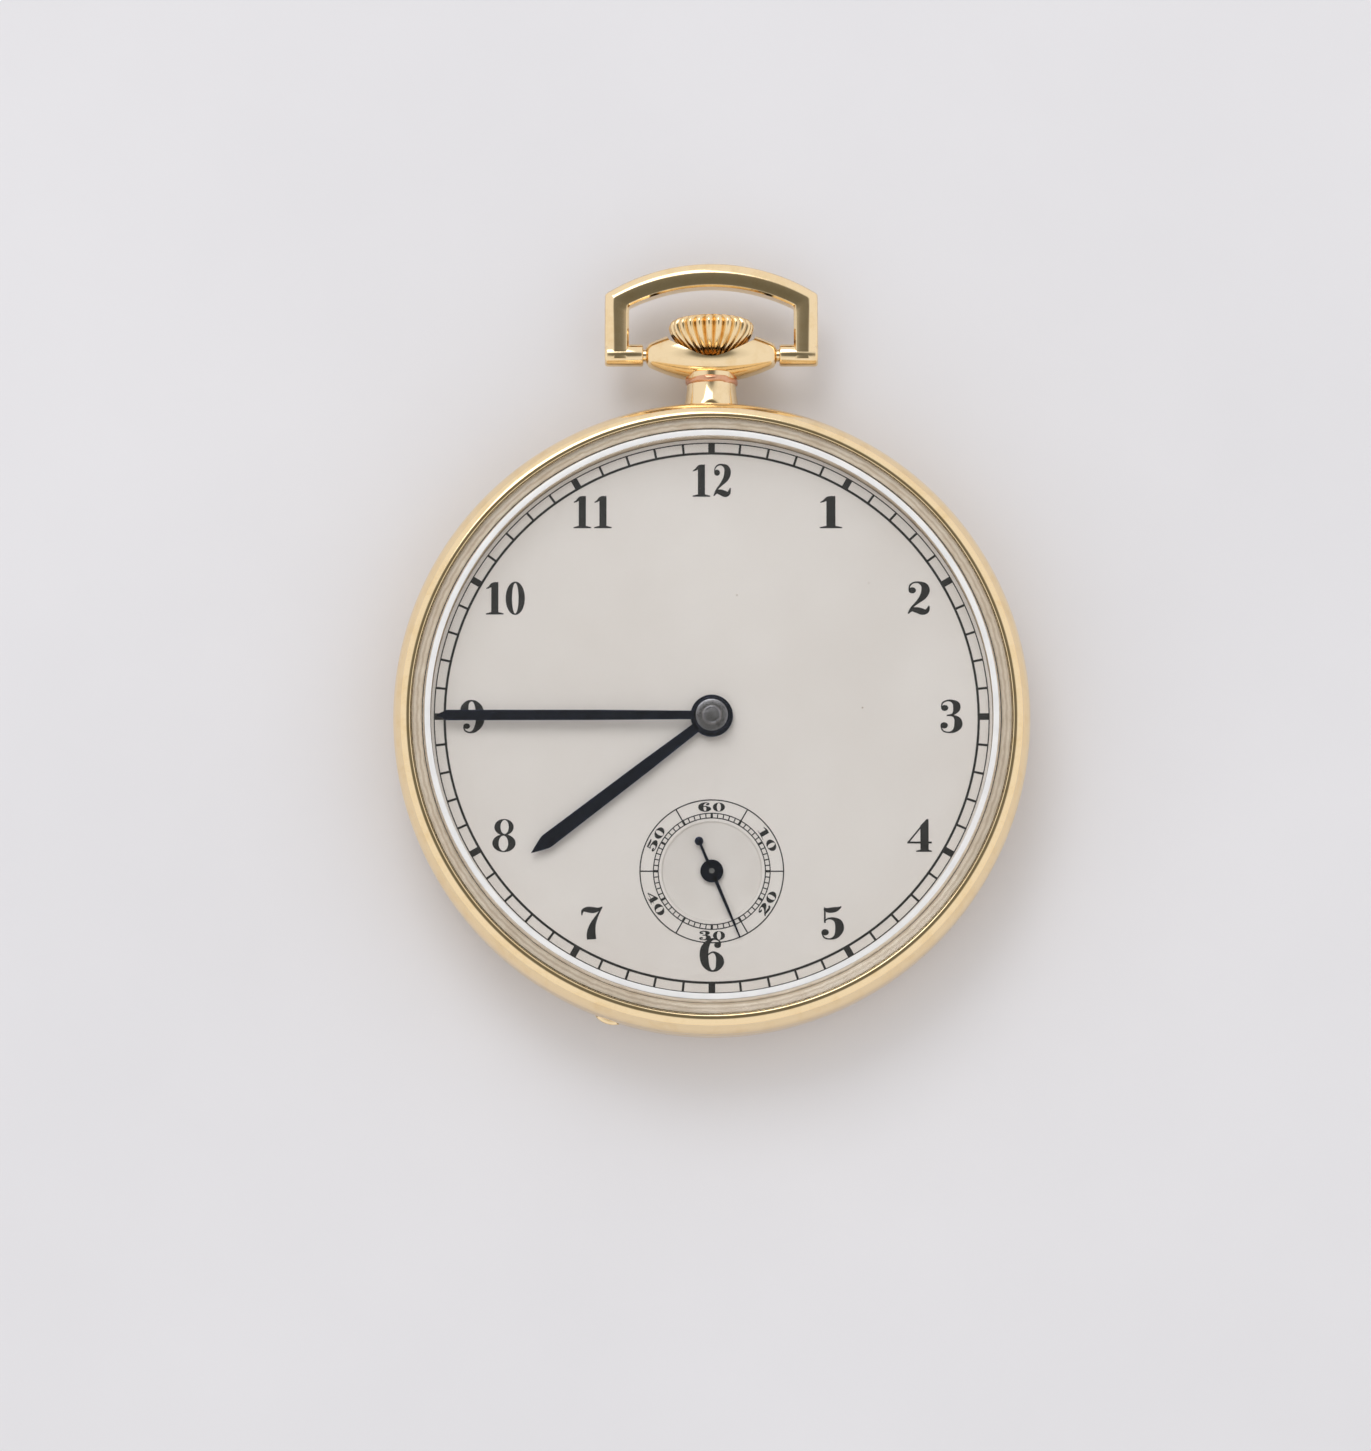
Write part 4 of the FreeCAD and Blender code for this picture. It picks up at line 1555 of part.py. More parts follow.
# ------------------------------------------------------------- write nodes
def main():
    os.makedirs("parts", exist_ok=True)
    blank = make_pendant_blank()
    turns = train_turns()
    save("back_cover", make_back_cover())
    save("case_middle", make_case_middle(blank))
    save("pendant", make_pendant(blank))
    save("bezel", make_bezel())
    save("crystal", make_crystal())
    save("bow", make_bow())
    save("bow_pins", make_bow_pins())
    save("crown", make_crown())
    save("stem", make_stem())
    save("winding_pinion", make_winding_pinion())
    save("sliding_pinion", make_sliding_pinion())
    save("crown_wheel", make_crown_wheel())
    save("crown_wheel_core", make_crown_wheel_core())
    save("ratchet_wheel", make_ratchet_wheel())
    save("ratchet_screw", make_ratchet_screw())
    save("click", make_click())
    save("click_spring", make_click_spring())
    save("barrel", make_barrel(turns))
    save("barrel_cover", make_barrel_cover())
    save("barrel_arbor", make_barrel_arbor())
    save("mainspring", make_mainspring())
    save("centre_wheel", make_centre_wheel())
    save("centre_arbor", make_centre_arbor())
    save("third_wheel", make_third_wheel())
    save("third_pinion", make_third_pinion(turns))
    save("fourth_wheel", make_fourth_wheel())
    save("fourth_pinion", make_fourth_pinion(turns))
    save("escape_wheel", make_escape_wheel())
    save("escape_pinion", make_escape_pinion(turns))
    save("pallet_fork", make_pallet_fork())
    save("pallet_stones", make_pallet_stones())
    save("balance_wheel", make_balance_wheel())
    save("balance_screws", make_balance_screws())
    save("balance_staff", make_balance_staff())
    save("impulse_jewel", impulse_jewel())
    save("hairspring", make_hairspring())
    save("main_plate", make_main_plate())
    save("barrel_bridge", make_barrel_bridge())
    save("train_bridge", make_train_bridge())
    save("balance_cock", make_balance_cock())
    save("pallet_cock", make_pallet_cock())
    save("bridge_screws", make_bridge_screws())
    save("case_screws", make_case_screws())
    save("jewels", make_jewels() + [make_endstone()])
    save("setting_lever", make_setting_lever())
    save("yoke", make_yoke())
    save("yoke_spring", make_yoke_spring())
    small_screws = [make_crown_wheel_screw(), make_click_screw(), make_click_spring_screw()]
    save("small_screws", small_screws + make_keyless_screws())
    save("setting_wheel", make_setting_wheel(turns))
    save("minute_wheel", make_minute_wheel(turns))
    save("motion_studs", make_studs())
    save("cannon_pinion", make_cannon_pinion())
    save("hour_wheel", make_hour_wheel(turns))
    save("dial_washer", make_dial_washer())
    save("dial", make_dial())
    save("hour_hand", make_hour_hand())
    save("minute_hand", make_minute_hand())
    save("minute_collet", make_minute_collet())
    save("seconds_hand", make_seconds_hand())


main()
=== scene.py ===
import json
import math

import bmesh
import bpy
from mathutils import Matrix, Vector


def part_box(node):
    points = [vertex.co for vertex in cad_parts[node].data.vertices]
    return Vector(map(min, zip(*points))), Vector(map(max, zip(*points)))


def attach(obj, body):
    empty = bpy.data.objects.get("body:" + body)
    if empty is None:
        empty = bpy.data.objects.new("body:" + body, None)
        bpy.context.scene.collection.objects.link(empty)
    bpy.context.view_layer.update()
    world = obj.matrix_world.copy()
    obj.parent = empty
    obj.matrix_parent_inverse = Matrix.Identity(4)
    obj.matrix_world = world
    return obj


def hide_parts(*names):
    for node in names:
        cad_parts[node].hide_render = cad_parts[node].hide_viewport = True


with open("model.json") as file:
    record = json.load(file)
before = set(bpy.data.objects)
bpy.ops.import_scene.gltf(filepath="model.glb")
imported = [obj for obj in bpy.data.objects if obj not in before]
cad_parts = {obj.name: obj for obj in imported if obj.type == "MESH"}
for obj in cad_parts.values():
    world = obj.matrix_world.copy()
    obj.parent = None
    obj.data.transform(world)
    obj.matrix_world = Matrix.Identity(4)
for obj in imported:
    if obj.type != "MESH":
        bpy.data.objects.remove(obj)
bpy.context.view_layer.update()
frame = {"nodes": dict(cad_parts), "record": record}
nodes = frame["nodes"]

# Open face pocket watch. Lengths below are millimetres in the part's own frame:
# +Z out of the dial, +Y towards 12 o'clock. MM turns them into metres.
MM = 0.001
TAU = 2.0 * math.pi


# ------------------------------------------------------------ mesh helpers
def add_mesh(name, verts, faces, material, body, slot, sharp=35.0):
    """Mesh piece from points in millimetres, riding on a CAD body."""
    mesh = bpy.data.meshes.new(name)
    mesh.from_pydata([(x * MM, y * MM, z * MM) for x, y, z in verts], [], faces)
    mesh.validate()
    work = bmesh.new()
    work.from_mesh(mesh)
    bmesh.ops.recalc_face_normals(work, faces=work.faces)
    work.to_mesh(mesh)
    work.free()
    mesh.shade_smooth()
    mesh.set_sharp_from_angle(angle=math.radians(sharp))
    piece = bpy.data.objects.new(name, mesh)
    bpy.context.scene.collection.objects.link(piece)
    mesh.materials.append(material)
    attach(piece, body)
    return piece


def fillet(points, radius, steps=4):
    """Round the inner corners of an open profile by up to the given radius."""
    result = [points[0]]
    for before, corner, after in zip(points, points[1:], points[2:]):
        here = Vector(corner)
        one = Vector(before) - here
        two = Vector(after) - here
        reach = min(radius, one.length * 0.45, two.length * 0.45)
        start = here + one.normalized() * reach
        end = here + two.normalized() * reach
        for step in range(steps + 1):
            share = step / steps
            mixed = start.lerp(here, share).lerp(here.lerp(end, share), share)
            result.append((mixed.x, mixed.y))
    result.append(points[-1])
    return result


def lathe(points, segments=192, centre=(0.0, 0.0)):
    """Closed ring of (radius, height) points turned about Z."""
    verts = []
    faces = []
    count = len(points)
    for number in range(segments):
        angle = TAU * number / segments
        for radius, height in points:
            verts.append((centre[0] + radius * math.cos(angle),
                          centre[1] + radius * math.sin(angle), height))
    for number in range(segments):
        following = (number + 1) % segments
        for index in range(count):
            beyond = (index + 1) % count
            faces.append((number * count + index, following * count + index,
                          following * count + beyond, number * count + beyond))
    return verts, faces


def closed_lathe(points, segments=192, centre=(0.0, 0.0)):
    """Profile that starts and ends on the axis, turned about Z."""
    verts = [(centre[0], centre[1], points[0][1]), (centre[0], centre[1], points[-1][1])]
    faces = []
    inner = points[1:-1]
    count = len(inner)
    for number in range(segments):
        angle = TAU * number / segments
        for radius, height in inner:
            verts.append((centre[0] + radius * math.cos(angle),
                          centre[1] + radius * math.sin(angle), height))
    for number in range(segments):
        following = (number + 1) % segments
        here = 2 + number * count
        there = 2 + following * count
        faces.append((0, there, here))
        faces.append((1, here + count - 1, there + count - 1))
        for index in range(count - 1):
            faces.append((here + index, there + index, there + index + 1, here + index + 1))
    return verts, faces


def turn_points(verts, degrees, centre=(0.0, 0.0)):
    """Turn points made about the origin and move them to a centre."""
    cosine = math.cos(math.radians(degrees))
    sine = math.sin(math.radians(degrees))
    return [(centre[0] + x * cosine - y * sine, centre[1] + x * sine + y * cosine, z)
            for x, y, z in verts]


def merge(parts):
    """One list of points and faces from several."""
    verts = []
    faces = []
    for more_verts, more_faces in parts:
        offset = len(verts)
        verts.extend(more_verts)
        faces.extend(tuple(index + offset for index in face) for face in more_faces)
    return verts, faces


def node_size(name):
    low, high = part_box(name)
    return low / MM, high / MM


# -------------------------------------------------------------- materials
class Shader:
    """Small builder for a node material around one Principled shader."""

    def __init__(self, name):
        self.material = bpy.data.materials.new(name)
        self.material.use_nodes = True
        self.tree = self.material.node_tree
        self.tree.nodes.clear()
        self.output = self.add("ShaderNodeOutputMaterial")
        self.main = self.add("ShaderNodeBsdfPrincipled")
        self.link(self.main, "BSDF", self.output, "Surface")
        self.place = self.add("ShaderNodeTexCoord")

    def add(self, kind, **values):
        node = self.tree.nodes.new(kind)
        for key, value in values.items():
            setattr(node, key, value)
        return node

    def link(self, source, out, target, into):
        self.tree.links.new(source.outputs[out], target.inputs[into])

    def fill(self, node, **values):
        for key, value in values.items():
            node.inputs[key.replace("_", " ")].default_value = value

    def set(self, **values):
        self.fill(self.main, **values)

    def base(self, source, out):
        self.link(source, out, self.main, "Base Color")

    def rough(self, source, out="Result"):
        self.link(source, out, self.main, "Roughness")

    def scaled(self, x, y, z):
        mapping = self.add("ShaderNodeMapping")
        self.fill(mapping, Scale=(x, y, z))
        self.link(self.place, "Object", mapping, "Vector")
        return mapping

    def noise(self, scale, detail=4.0, roughness=0.55, stretch=(1, 1, 1), distortion=0.0):
        mapping = self.scaled(*stretch)
        node = self.add("ShaderNodeTexNoise")
        self.fill(node, Scale=scale, Detail=detail, Roughness=roughness, Distortion=distortion)
        self.link(mapping, "Vector", node, "Vector")
        return node

    def ramp(self, source, out, stops):
        node = self.add("ShaderNodeValToRGB")
        elements = node.color_ramp.elements
        while len(elements) < len(stops):
            elements.new(0.5)
        for element, (position, colour) in zip(elements, stops):
            element.position = position
            element.color = (*colour, 1.0) if len(colour) == 3 else colour
        self.link(source, out, node, "Fac")
        return node

    def range(self, source, out, low, high, start=0.0, end=1.0):
        node = self.add("ShaderNodeMapRange")
        self.fill(node, From_Min=start, From_Max=end, To_Min=low, To_Max=high)
        self.link(source, out, node, "Value")
        return node

    def mix(self, factor, one, two, kind="MIX"):
        """Mix two colours; each input is a (node, output) pair or a colour."""
        node = self.add("ShaderNodeMix", data_type="RGBA", blend_type=kind)
        for value, socket in ((factor, 0), (one, 6), (two, 7)):
            if isinstance(value, tuple) and len(value) == 2:
                self.tree.links.new(value[0].outputs[value[1]], node.inputs[socket])
            elif socket == 0:
                node.inputs[socket].default_value = value
            else:
                node.inputs[socket].default_value = (*value, 1.0)
        return node

    def bump(self, source, out, strength, distance, previous=None):
        node = self.add("ShaderNodeBump")
        self.fill(node, Strength=strength, Distance=distance)
        self.link(source, out, node, "Height")
        if previous is not None:
            self.link(previous, "Normal", node, "Normal")
        self.link(node, "Normal", self.main, "Normal")
        return node

    def math(self, operation, source, out, value):
        node = self.add("ShaderNodeMath", operation=operation)
        self.link(source, out, node, 0)
        if isinstance(value, tuple):
            self.link(value[0], value[1], node, 1)
        else:
            node.inputs[1].default_value = value
        return node


def srgb(red, green, blue):
    """Linear colour from 0-255 display values."""
    result = []
    for value in (red, green, blue):
        share = value / 255.0
        result.append(share / 12.92 if share <= 0.04045 else ((share + 0.055) / 1.055) ** 2.4)
    return tuple(result)


def scratch_field(shader, scale, width=0.030):
    """Thin random hairlines: the valleys of a stretched, distorted noise."""
    fields = []
    for stretch, offset in (((1.0, 9.0, 4.0), 1.0), ((8.0, 1.2, 5.0), 1.6)):
        noise = shader.noise(scale * offset, 2.0, 0.4, stretch, 0.15)
        centred = shader.math("SUBTRACT", noise, "Fac", 0.5)
        size = shader.math("ABSOLUTE", centred, "Value", 0.0)
        fields.append(shader.range(size, "Value", 1.0, 0.0, 0.0, width))
    return shader.math("MAXIMUM", fields[0], "Result", (fields[1], "Result"))


def polished_metal(name, light, dark, rough, wear=0.6, patch=900.0, scratch=2600.0, bump=0.10):
    """Polished metal with tarnish clouds, hairline scratches and a soft ripple."""
    shader = Shader(name)
    clouds = shader.noise(patch, 5.0, 0.6)
    tone = shader.ramp(clouds, "Fac", [(0.20, dark), (0.52, light)])
    hairs = scratch_field(shader, scratch)
    fine = shader.noise(patch * 14.0, 3.0, 0.7)
    dull = shader.range(fine, "Fac", rough * 0.75, rough * 1.6)
    worn = shader.math("MULTIPLY_ADD", hairs, "Value", 0.05 * wear)
    shader.link(dull, "Result", worn, 2)
    shader.base(tone, "Color")
    shader.rough(worn, "Value")
    ripple = shader.bump(clouds, "Fac", 0.02, 0.00001)
    shader.bump(hairs, "Value", bump * wear, 0.0000015, ripple)
    shader.set(Metallic=1.0)
    return shader.material


def brushed_metal(name, light, dark, rough, grain=(60.0, 1.0, 60.0), scale=700.0):
    """Metal drawn along one direction, with long fine grain."""
    shader = Shader(name)
    grain_noise = shader.noise(scale, 6.0, 0.7, grain)
    clouds = shader.noise(500.0, 4.0, 0.5)
    tone = shader.ramp(clouds, "Fac", [(0.30, dark), (0.70, light)])
    streak = shader.ramp(grain_noise, "Fac", [(0.30, (0.78, 0.78, 0.78)), (0.70, (1.0, 1.0, 1.0))])
    colour = shader.mix(1.0, (tone, "Color"), (streak, "Color"), "MULTIPLY")
    dull = shader.range(grain_noise, "Fac", rough * 0.7, rough * 1.5)
    shader.base(colour, 2)
    shader.rough(dull)
    shader.bump(grain_noise, "Fac", 0.20, 0.000004)
    shader.set(Metallic=1.0)
    return shader.material


LIGHT_GOLD = srgb(248, 223, 180)
DEEP_GOLD = srgb(240, 210, 160)
ROSE_GOLD = srgb(206, 138, 104)
gold = polished_metal("gold_polished", LIGHT_GOLD, DEEP_GOLD, 0.085)
crown_metal = polished_metal("gold_crown", srgb(247, 220, 174), srgb(230, 194, 134), 0.12, 0.9)
solder = polished_metal("gold_solder", srgb(226, 172, 138), ROSE_GOLD, 0.24, 1.0, 1500.0)
blued = polished_metal("steel_blued", srgb(50, 56, 74), srgb(26, 30, 44), 0.18, 0.8, 1500.0, 3400.0)
collet_steel = polished_metal("steel_collet", srgb(150, 149, 153), srgb(98, 97, 102), 0.20, 0.8, 1500.0)
steel = polished_metal("steel_polished", srgb(196, 197, 200), srgb(150, 152, 156), 0.16, 0.7)
nickel = brushed_metal("nickel_brushed", srgb(214, 210, 200), srgb(188, 182, 170), 0.26, (1.0, 22.0, 22.0))
brass = brushed_metal("brass_gilt", srgb(232, 196, 122), srgb(200, 158, 84), 0.24, (12.0, 1.0, 12.0))
spring = brushed_metal("steel_spring", srgb(118, 126, 148), srgb(84, 90, 108), 0.30, (1.0, 1.0, 40.0))


def make_dial_material():
    """Silvered opaline: fine mealy grain, soft clouds and small brownish specks."""
    shader = Shader("dial_opaline")
    clouds = shader.noise(120.0, 4.0, 0.5)
    tone = shader.ramp(clouds, "Fac", [(0.25, srgb(233, 226, 220)), (0.75, srgb(241, 235, 230))])
    grain = shader.noise(9000.0, 2.0, 0.8)
    mottle = shader.ramp(grain, "Fac", [(0.30, (0.94, 0.94, 0.945)), (0.70, (1.0, 1.0, 1.0))])
    colour = shader.mix(1.0, (tone, "Color"), (mottle, "Color"), "MULTIPLY")
    specks = shader.add("ShaderNodeTexVoronoi", feature="F1")
    shader.fill(specks, Scale=380.0)
    shader.link(shader.place, "Object", specks, "Vector")
    spot = shader.range(specks, "Distance", 1.0, 0.0, 0.010, 0.035)
    aged = shader.mix((spot, "Result"), (colour, 2), srgb(176, 158, 140))
    shader.base(aged, 2)
    dull = shader.range(grain, "Fac", 0.38, 0.56)
    shader.rough(dull)
    shader.bump(grain, "Fac", 0.10, 0.000003)
    shader.set(Metallic=0.15)
    return shader.material


def make_turned_dial_material(name, centre, pitch_scale):
    """Dial centre cut with fine concentric rings about its own middle."""
    shader = Shader(name)
    mapping = shader.scaled(1.0, 1.0, 0.0)
    shader.fill(mapping, Location=(-centre[0] * MM, -centre[1] * MM, 0.0))
    rings = shader.add("ShaderNodeTexWave", wave_type="RINGS", rings_direction="Z")
    shader.fill(rings, Scale=pitch_scale, Distortion=0.0)
    shader.link(mapping, "Vector", rings, "Vector")
    clouds = shader.noise(300.0, 4.0, 0.5)
    tone = shader.ramp(clouds, "Fac", [(0.25, srgb(228, 221, 215)), (0.75, srgb(237, 231, 226))])
    groove = shader.ramp(rings, "Fac", [(0.0, (0.955, 0.955, 0.955)), (1.0, (1.0, 1.0, 1.0))])
    colour = shader.mix(1.0, (tone, "Color"), (groove, "Color"), "MULTIPLY")
    shader.base(colour, 2)
    dull = shader.range(clouds, "Fac", 0.34, 0.50)
    shader.rough(dull)
    shader.bump(rings, "Fac", 0.22, 0.000006)
    shader.set(Metallic=0.25)
    return shader.material


def make_ink_material():
    """Printed enamel ink: near black, a little uneven, softly glossy."""
    shader = Shader("dial_ink")
    blotch = shader.noise(2600.0, 4.0, 0.6)
    tone = shader.ramp(blotch, "Fac", [(0.30, srgb(18, 18, 20)), (0.75, srgb(38, 37, 38))])
    shader.base(tone, "Color")
    dull = shader.range(blotch, "Fac", 0.30, 0.48)
    shader.rough(dull)
    shader.bump(blotch, "Fac", 0.15, 0.000003)
    return shader.material


def make_ruby_material():
    shader = Shader("ruby_jewel")
    depth = shader.noise(1800.0, 3.0, 0.5)
    tone = shader.ramp(depth, "Fac", [(0.30, srgb(120, 10, 38)), (0.75, srgb(190, 34, 66))])
    shader.base(tone, "Color")
    polish = shader.range(depth, "Fac", 0.05, 0.12)
    shader.rough(polish)
    shader.bump(depth, "Fac", 0.03, 0.000004)
    shader.set(Coat_Weight=0.6)
    return shader.material


def make_crystal_material():
    """Clear glass with faint hairlines; light passes straight through to the dial."""
    shader = Shader("crystal_glass")
    shader.tree.nodes.remove(shader.main)
    glass = shader.add("ShaderNodeBsdfGlass")
    shader.fill(glass, IOR=1.49, Color=(0.998, 1.0, 0.998, 1.0))
    hairs = scratch_field(shader, 900.0, 0.012)
    haze = shader.range(hairs, "Value", 0.0, 0.10)
    shader.link(haze, "Result", glass, "Roughness")
    bump = shader.add("ShaderNodeBump")
    shader.fill(bump, Strength=0.06, Distance=0.000002)
    shader.link(hairs, "Value", bump, "Height")
    shader.link(bump, "Normal", glass, "Normal")
    clear = shader.add("ShaderNodeBsdfTransparent")
    path = shader.add("ShaderNodeLightPath")
    either = shader.add("ShaderNodeMixShader")
    shader.link(path, "Is Shadow Ray", either, 0)
    shader.link(glass, "BSDF", either, 1)
    shader.link(clear, "BSDF", either, 2)
    shader.link(either, "Shader", shader.output, "Surface")
    return shader.material


def make_milky_material():
    """Painted highlight: a near-white, partly see-through ring on the crystal's rounded edge."""
    shader = Shader("crystal_rim_painted_highlight")
    cloud = shader.noise(600.0, 3.0, 0.5)
    tone = shader.ramp(cloud, "Fac", [(0.3, (0.95, 0.95, 0.95)), (0.7, (1.0, 0.99, 0.98))])
    shader.base(tone, "Color")
    veil = shader.range(cloud, "Fac", 0.80, 0.95)
    shader.link(veil, "Result", shader.main, "Alpha")
    shader.bump(cloud, "Fac", 0.05, 0.000005)
    shader.set(Roughness=0.35)
    return shader.material


def make_gasket_material():
    """Pale cement line on which the crystal sits."""
    shader = Shader("crystal_seat")
    cloud = shader.noise(700.0, 4.0, 0.6, (1.0, 1.0, 6.0))
    tone = shader.ramp(cloud, "Fac", [(0.25, srgb(214, 194, 168)), (0.75, srgb(238, 224, 204))])
    rings = shader.add("ShaderNodeTexWave", wave_type="RINGS", rings_direction="Z")
    shader.fill(rings, Scale=900.0, Distortion=2.5, Detail=2.0, Detail_Scale=1.5)
    shader.link(shader.scaled(1.0, 1.0, 0.0), "Vector", rings, "Vector")
    streak = shader.ramp(rings, "Fac", [(0.15, (0.80, 0.74, 0.66)), (0.70, (1.0, 1.0, 1.0))])
    colour = shader.mix(1.0, (tone, "Color"), (streak, "Color"), "MULTIPLY")
    shader.base(colour, 2)
    dull = shader.range(cloud, "Fac", 0.30, 0.50)
    shader.rough(dull)
    shader.bump(cloud, "Fac", 0.10, 0.000010)
    shader.set(Metallic=0.20)
    return shader.material


dial_paint = make_dial_material()
edge_highlight_paint = make_milky_material()
gasket = make_gasket_material()
ink = make_ink_material()
ruby = make_ruby_material()
crystal_glass = make_crystal_material()

SLOT_MATERIALS = {
    "case_gold": gold, "crown_gold": crown_metal, "crystal": crystal_glass, "dial_silver": dial_paint,
    "polished_steel": steel, "gilt_brass": brass, "nickel_plate": nickel, "blued_steel": blued,
    "ruby": ruby, "spring_steel": spring,
}


def paint_cad_nodes():
    """Give every CAD node the detailed finish of its slot."""
    for subpart in frame["record"]["subparts"]:
        node = nodes[subpart["node"]]
        material = SLOT_MATERIALS[subpart["material_slot"]]
        for slot in node.material_slots:
            slot.material = material


# ------------------------------------------------------------------- case
PENDANT_Y = 26.40
STEM_Z = 3.40
BAND_LOW = 2.50
BAND_HIGH = 5.30


def build_bezel():
    low, high = node_size("bezel")
    outer = high.x
    top = high.z
    outline = fillet([
        (19.93, low.z), (outer - 0.06, low.z), (outer, low.z + 0.30), (outer - 0.02, 6.05),
        (outer - 0.22, 6.62), (outer - 0.62, 7.12), (outer - 0.98, top - 0.01), (21.26, top - 0.02),
        (21.14, top - 0.12), (21.14, 6.75), (20.22, 6.75), (20.14, 6.40), (19.93, low.z + 0.12),
        (19.93, low.z)], 0.16, 4)
    verts, faces = lathe(outline[:-1], 256)
    ring = add_mesh("bezel_ring", verts, faces, gold, "front", "case_gold", 50.0)
    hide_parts("bezel")


def build_crystal():
    low, high = node_size("crystal")
    edge = high.x
    outline = [(0.0, 7.10), (19.70, 7.10)]
    for step in range(1, 9):
        angle = math.radians(60.0) * step / 8
        outline.append((19.70 + 0.62 * math.sin(angle), 6.48 + 0.62 * math.cos(angle)))
    outline += [(edge - 0.03, 6.77), (edge, 6.80), (edge, 7.34), (edge - 0.04, 7.40), (20.16, high.z - 0.05),
                (20.08, high.z - 0.015), (19.96, high.z - 0.006), (0.0, high.z - 0.006)]
    verts, faces = closed_lathe(outline, 256)
    glass = add_mesh("watch_crystal", verts, faces, crystal_glass, "front", "crystal", 20.0)
    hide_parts("crystal")
    # Near-white ring just under the crystal's top rim: a painted highlight on its rounded shoulder.
    drops = ((19.78, 0.008), (19.82, 0.002), (20.00, 0.002), (20.10, 0.012), (20.18, 0.050), (20.15, 0.080),
             (20.00, 0.040), (19.78, 0.030))
    band = [(radius, high.z - drop) for radius, drop in drops]
    verts, faces = lathe(band, 256)
    add_mesh("crystal_rim_painted_highlight_ring", verts, faces, edge_highlight_paint, "front", "crystal", 60.0)
    seat = [(19.92, 5.50), (20.12, 6.40), (20.21, 6.752), (21.08, 6.752), (21.08, 6.765), (20.19, 6.765),
            (20.10, 6.40), (19.90, 5.50)]
    verts, faces = lathe(seat, 256)
    add_mesh("crystal_seat_ring", verts, faces, gasket, "front", "crystal", 60.0)


def build_band():
    outline = fillet([
        (20.95, 2.50), (22.26, 2.50), (22.40, 2.62), (22.49, 3.30), (22.50, 3.90), (22.49, 4.50),
        (22.40, 5.18), (22.26, 5.30), (19.95, 5.30), (19.95, 4.62), (19.36, 4.62), (19.36, 4.20),
        (20.95, 4.20), (20.95, 2.50)], 0.08, 3)
    verts, faces = lathe(outline[:-1], 256)
    band = add_mesh("case_band", verts, faces, gold, "case", "case_gold", 50.0)
    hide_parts("case_middle")


def build_back():
    outline = [(0.0, 0.0), (8.0, 0.0), (14.6, 0.002)]
    radius = 14.45
    for step in range(13):
        angle = math.radians(30.5) * step / 12
        outline.append((15.0 + radius * math.sin(angle), radius * (1.0 - math.cos(angle))))
    outline += [(22.40, 2.06), (22.42, 2.14), (22.42, 2.38), (22.38, 2.45), (20.90, 2.45), (20.90, 3.30),
                (20.85, 3.35), (20.50, 3.35), (20.45, 3.30), (20.45, 2.10)]
    for step in range(9):
        angle = math.radians(52.4) * (1.0 - step / 8)
        outline.append((17.30 + 3.976 * math.sin(angle), 0.55 + 3.976 * (1.0 - math.cos(angle))))
    outline.append((0.0, 0.55))
    verts, faces = closed_lathe(outline, 256)
    back = add_mesh("case_back", verts, faces, gold, "back", "case_gold", 40.0)
    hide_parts("back_cover")
    build_thumb_lip()


THUMB_BEARING = 250.8
THUMB_ARC = 5.2


def build_thumb_lip():
    """Short arc of rim that the thumb nail catches, with its ends drawn in."""
    steps = 24
    root = 22.28
    profile = [(root, 2.12), (22.60, 2.14), (22.70, 2.24), (22.70, 2.34), (22.60, 2.43), (root, 2.44)]
    count = len(profile)
    points = []
    for step in range(steps + 1):
        share = step / steps
        swell = math.sin(math.pi * share) ** 0.5
        angle = math.radians(THUMB_BEARING + (share - 0.5) * THUMB_ARC)
        for radius, height in profile:
            reach = root + (radius - root) * swell
            points.append((reach * math.cos(angle), reach * math.sin(angle), height))
    quads = []
    for step in range(steps):
        here = step * count
        for index in range(count):
            beyond = (index + 1) % count
            quads.append((here + index, here + beyond, here + count + beyond, here + count + index))
    add_mesh("case_thumb_lip", points, quads, gold, "back", "case_gold", 50.0)


def revolve_y(points, segments=96, wobble=None):
    """Closed ring of (radius, y) points turned about the stem's axis."""
    verts = []
    faces = []
    count = len(points)
    for number in range(segments):
        angle = TAU * number / segments
        for index, (radius, y) in enumerate(points):
            extra = wobble(angle, index) if wobble else 0.0
            verts.append(((radius + extra) * math.cos(angle), y + extra * 0.5,
                          STEM_Z + (radius + extra) * math.sin(angle)))
    for number in range(segments):
        following = (number + 1) % segments
        for index in range(count):
            beyond = (index + 1) % count
            faces.append((number * count + index, following * count + index,
                          following * count + beyond, number * count + beyond))
    return verts, faces


def cut_away(piece, cutters):
    """Boolean difference, applied, with the cutters removed."""
    for cutter in cutters:
        modifier = piece.modifiers.new("cut", "BOOLEAN")
        modifier.operation = "DIFFERENCE"
        modifier.solver = "EXACT"
        modifier.object = cutter
    bpy.context.view_layer.update()
    graph = bpy.context.evaluated_depsgraph_get()
    mesh = bpy.data.meshes.new_from_object(piece.evaluated_get(graph))
    piece.modifiers.clear()
    piece.data = mesh
    for cutter in cutters:
        bpy.data.objects.remove(cutter)
    mesh.shade_smooth()
    mesh.set_sharp_from_angle(angle=math.radians(38.0))


def bare_mesh(name, verts, faces):
    mesh = bpy.data.meshes.new(name)
    mesh.from_pydata([(x * MM, y * MM, z * MM) for x, y, z in verts], [], faces)
    work = bmesh.new()
    work.from_mesh(mesh)
    bmesh.ops.recalc_face_normals(work, faces=work.faces)
    work.to_mesh(mesh)
    work.free()
    piece = bpy.data.objects.new(name, mesh)
    bpy.context.scene.collection.objects.link(piece)
    return piece


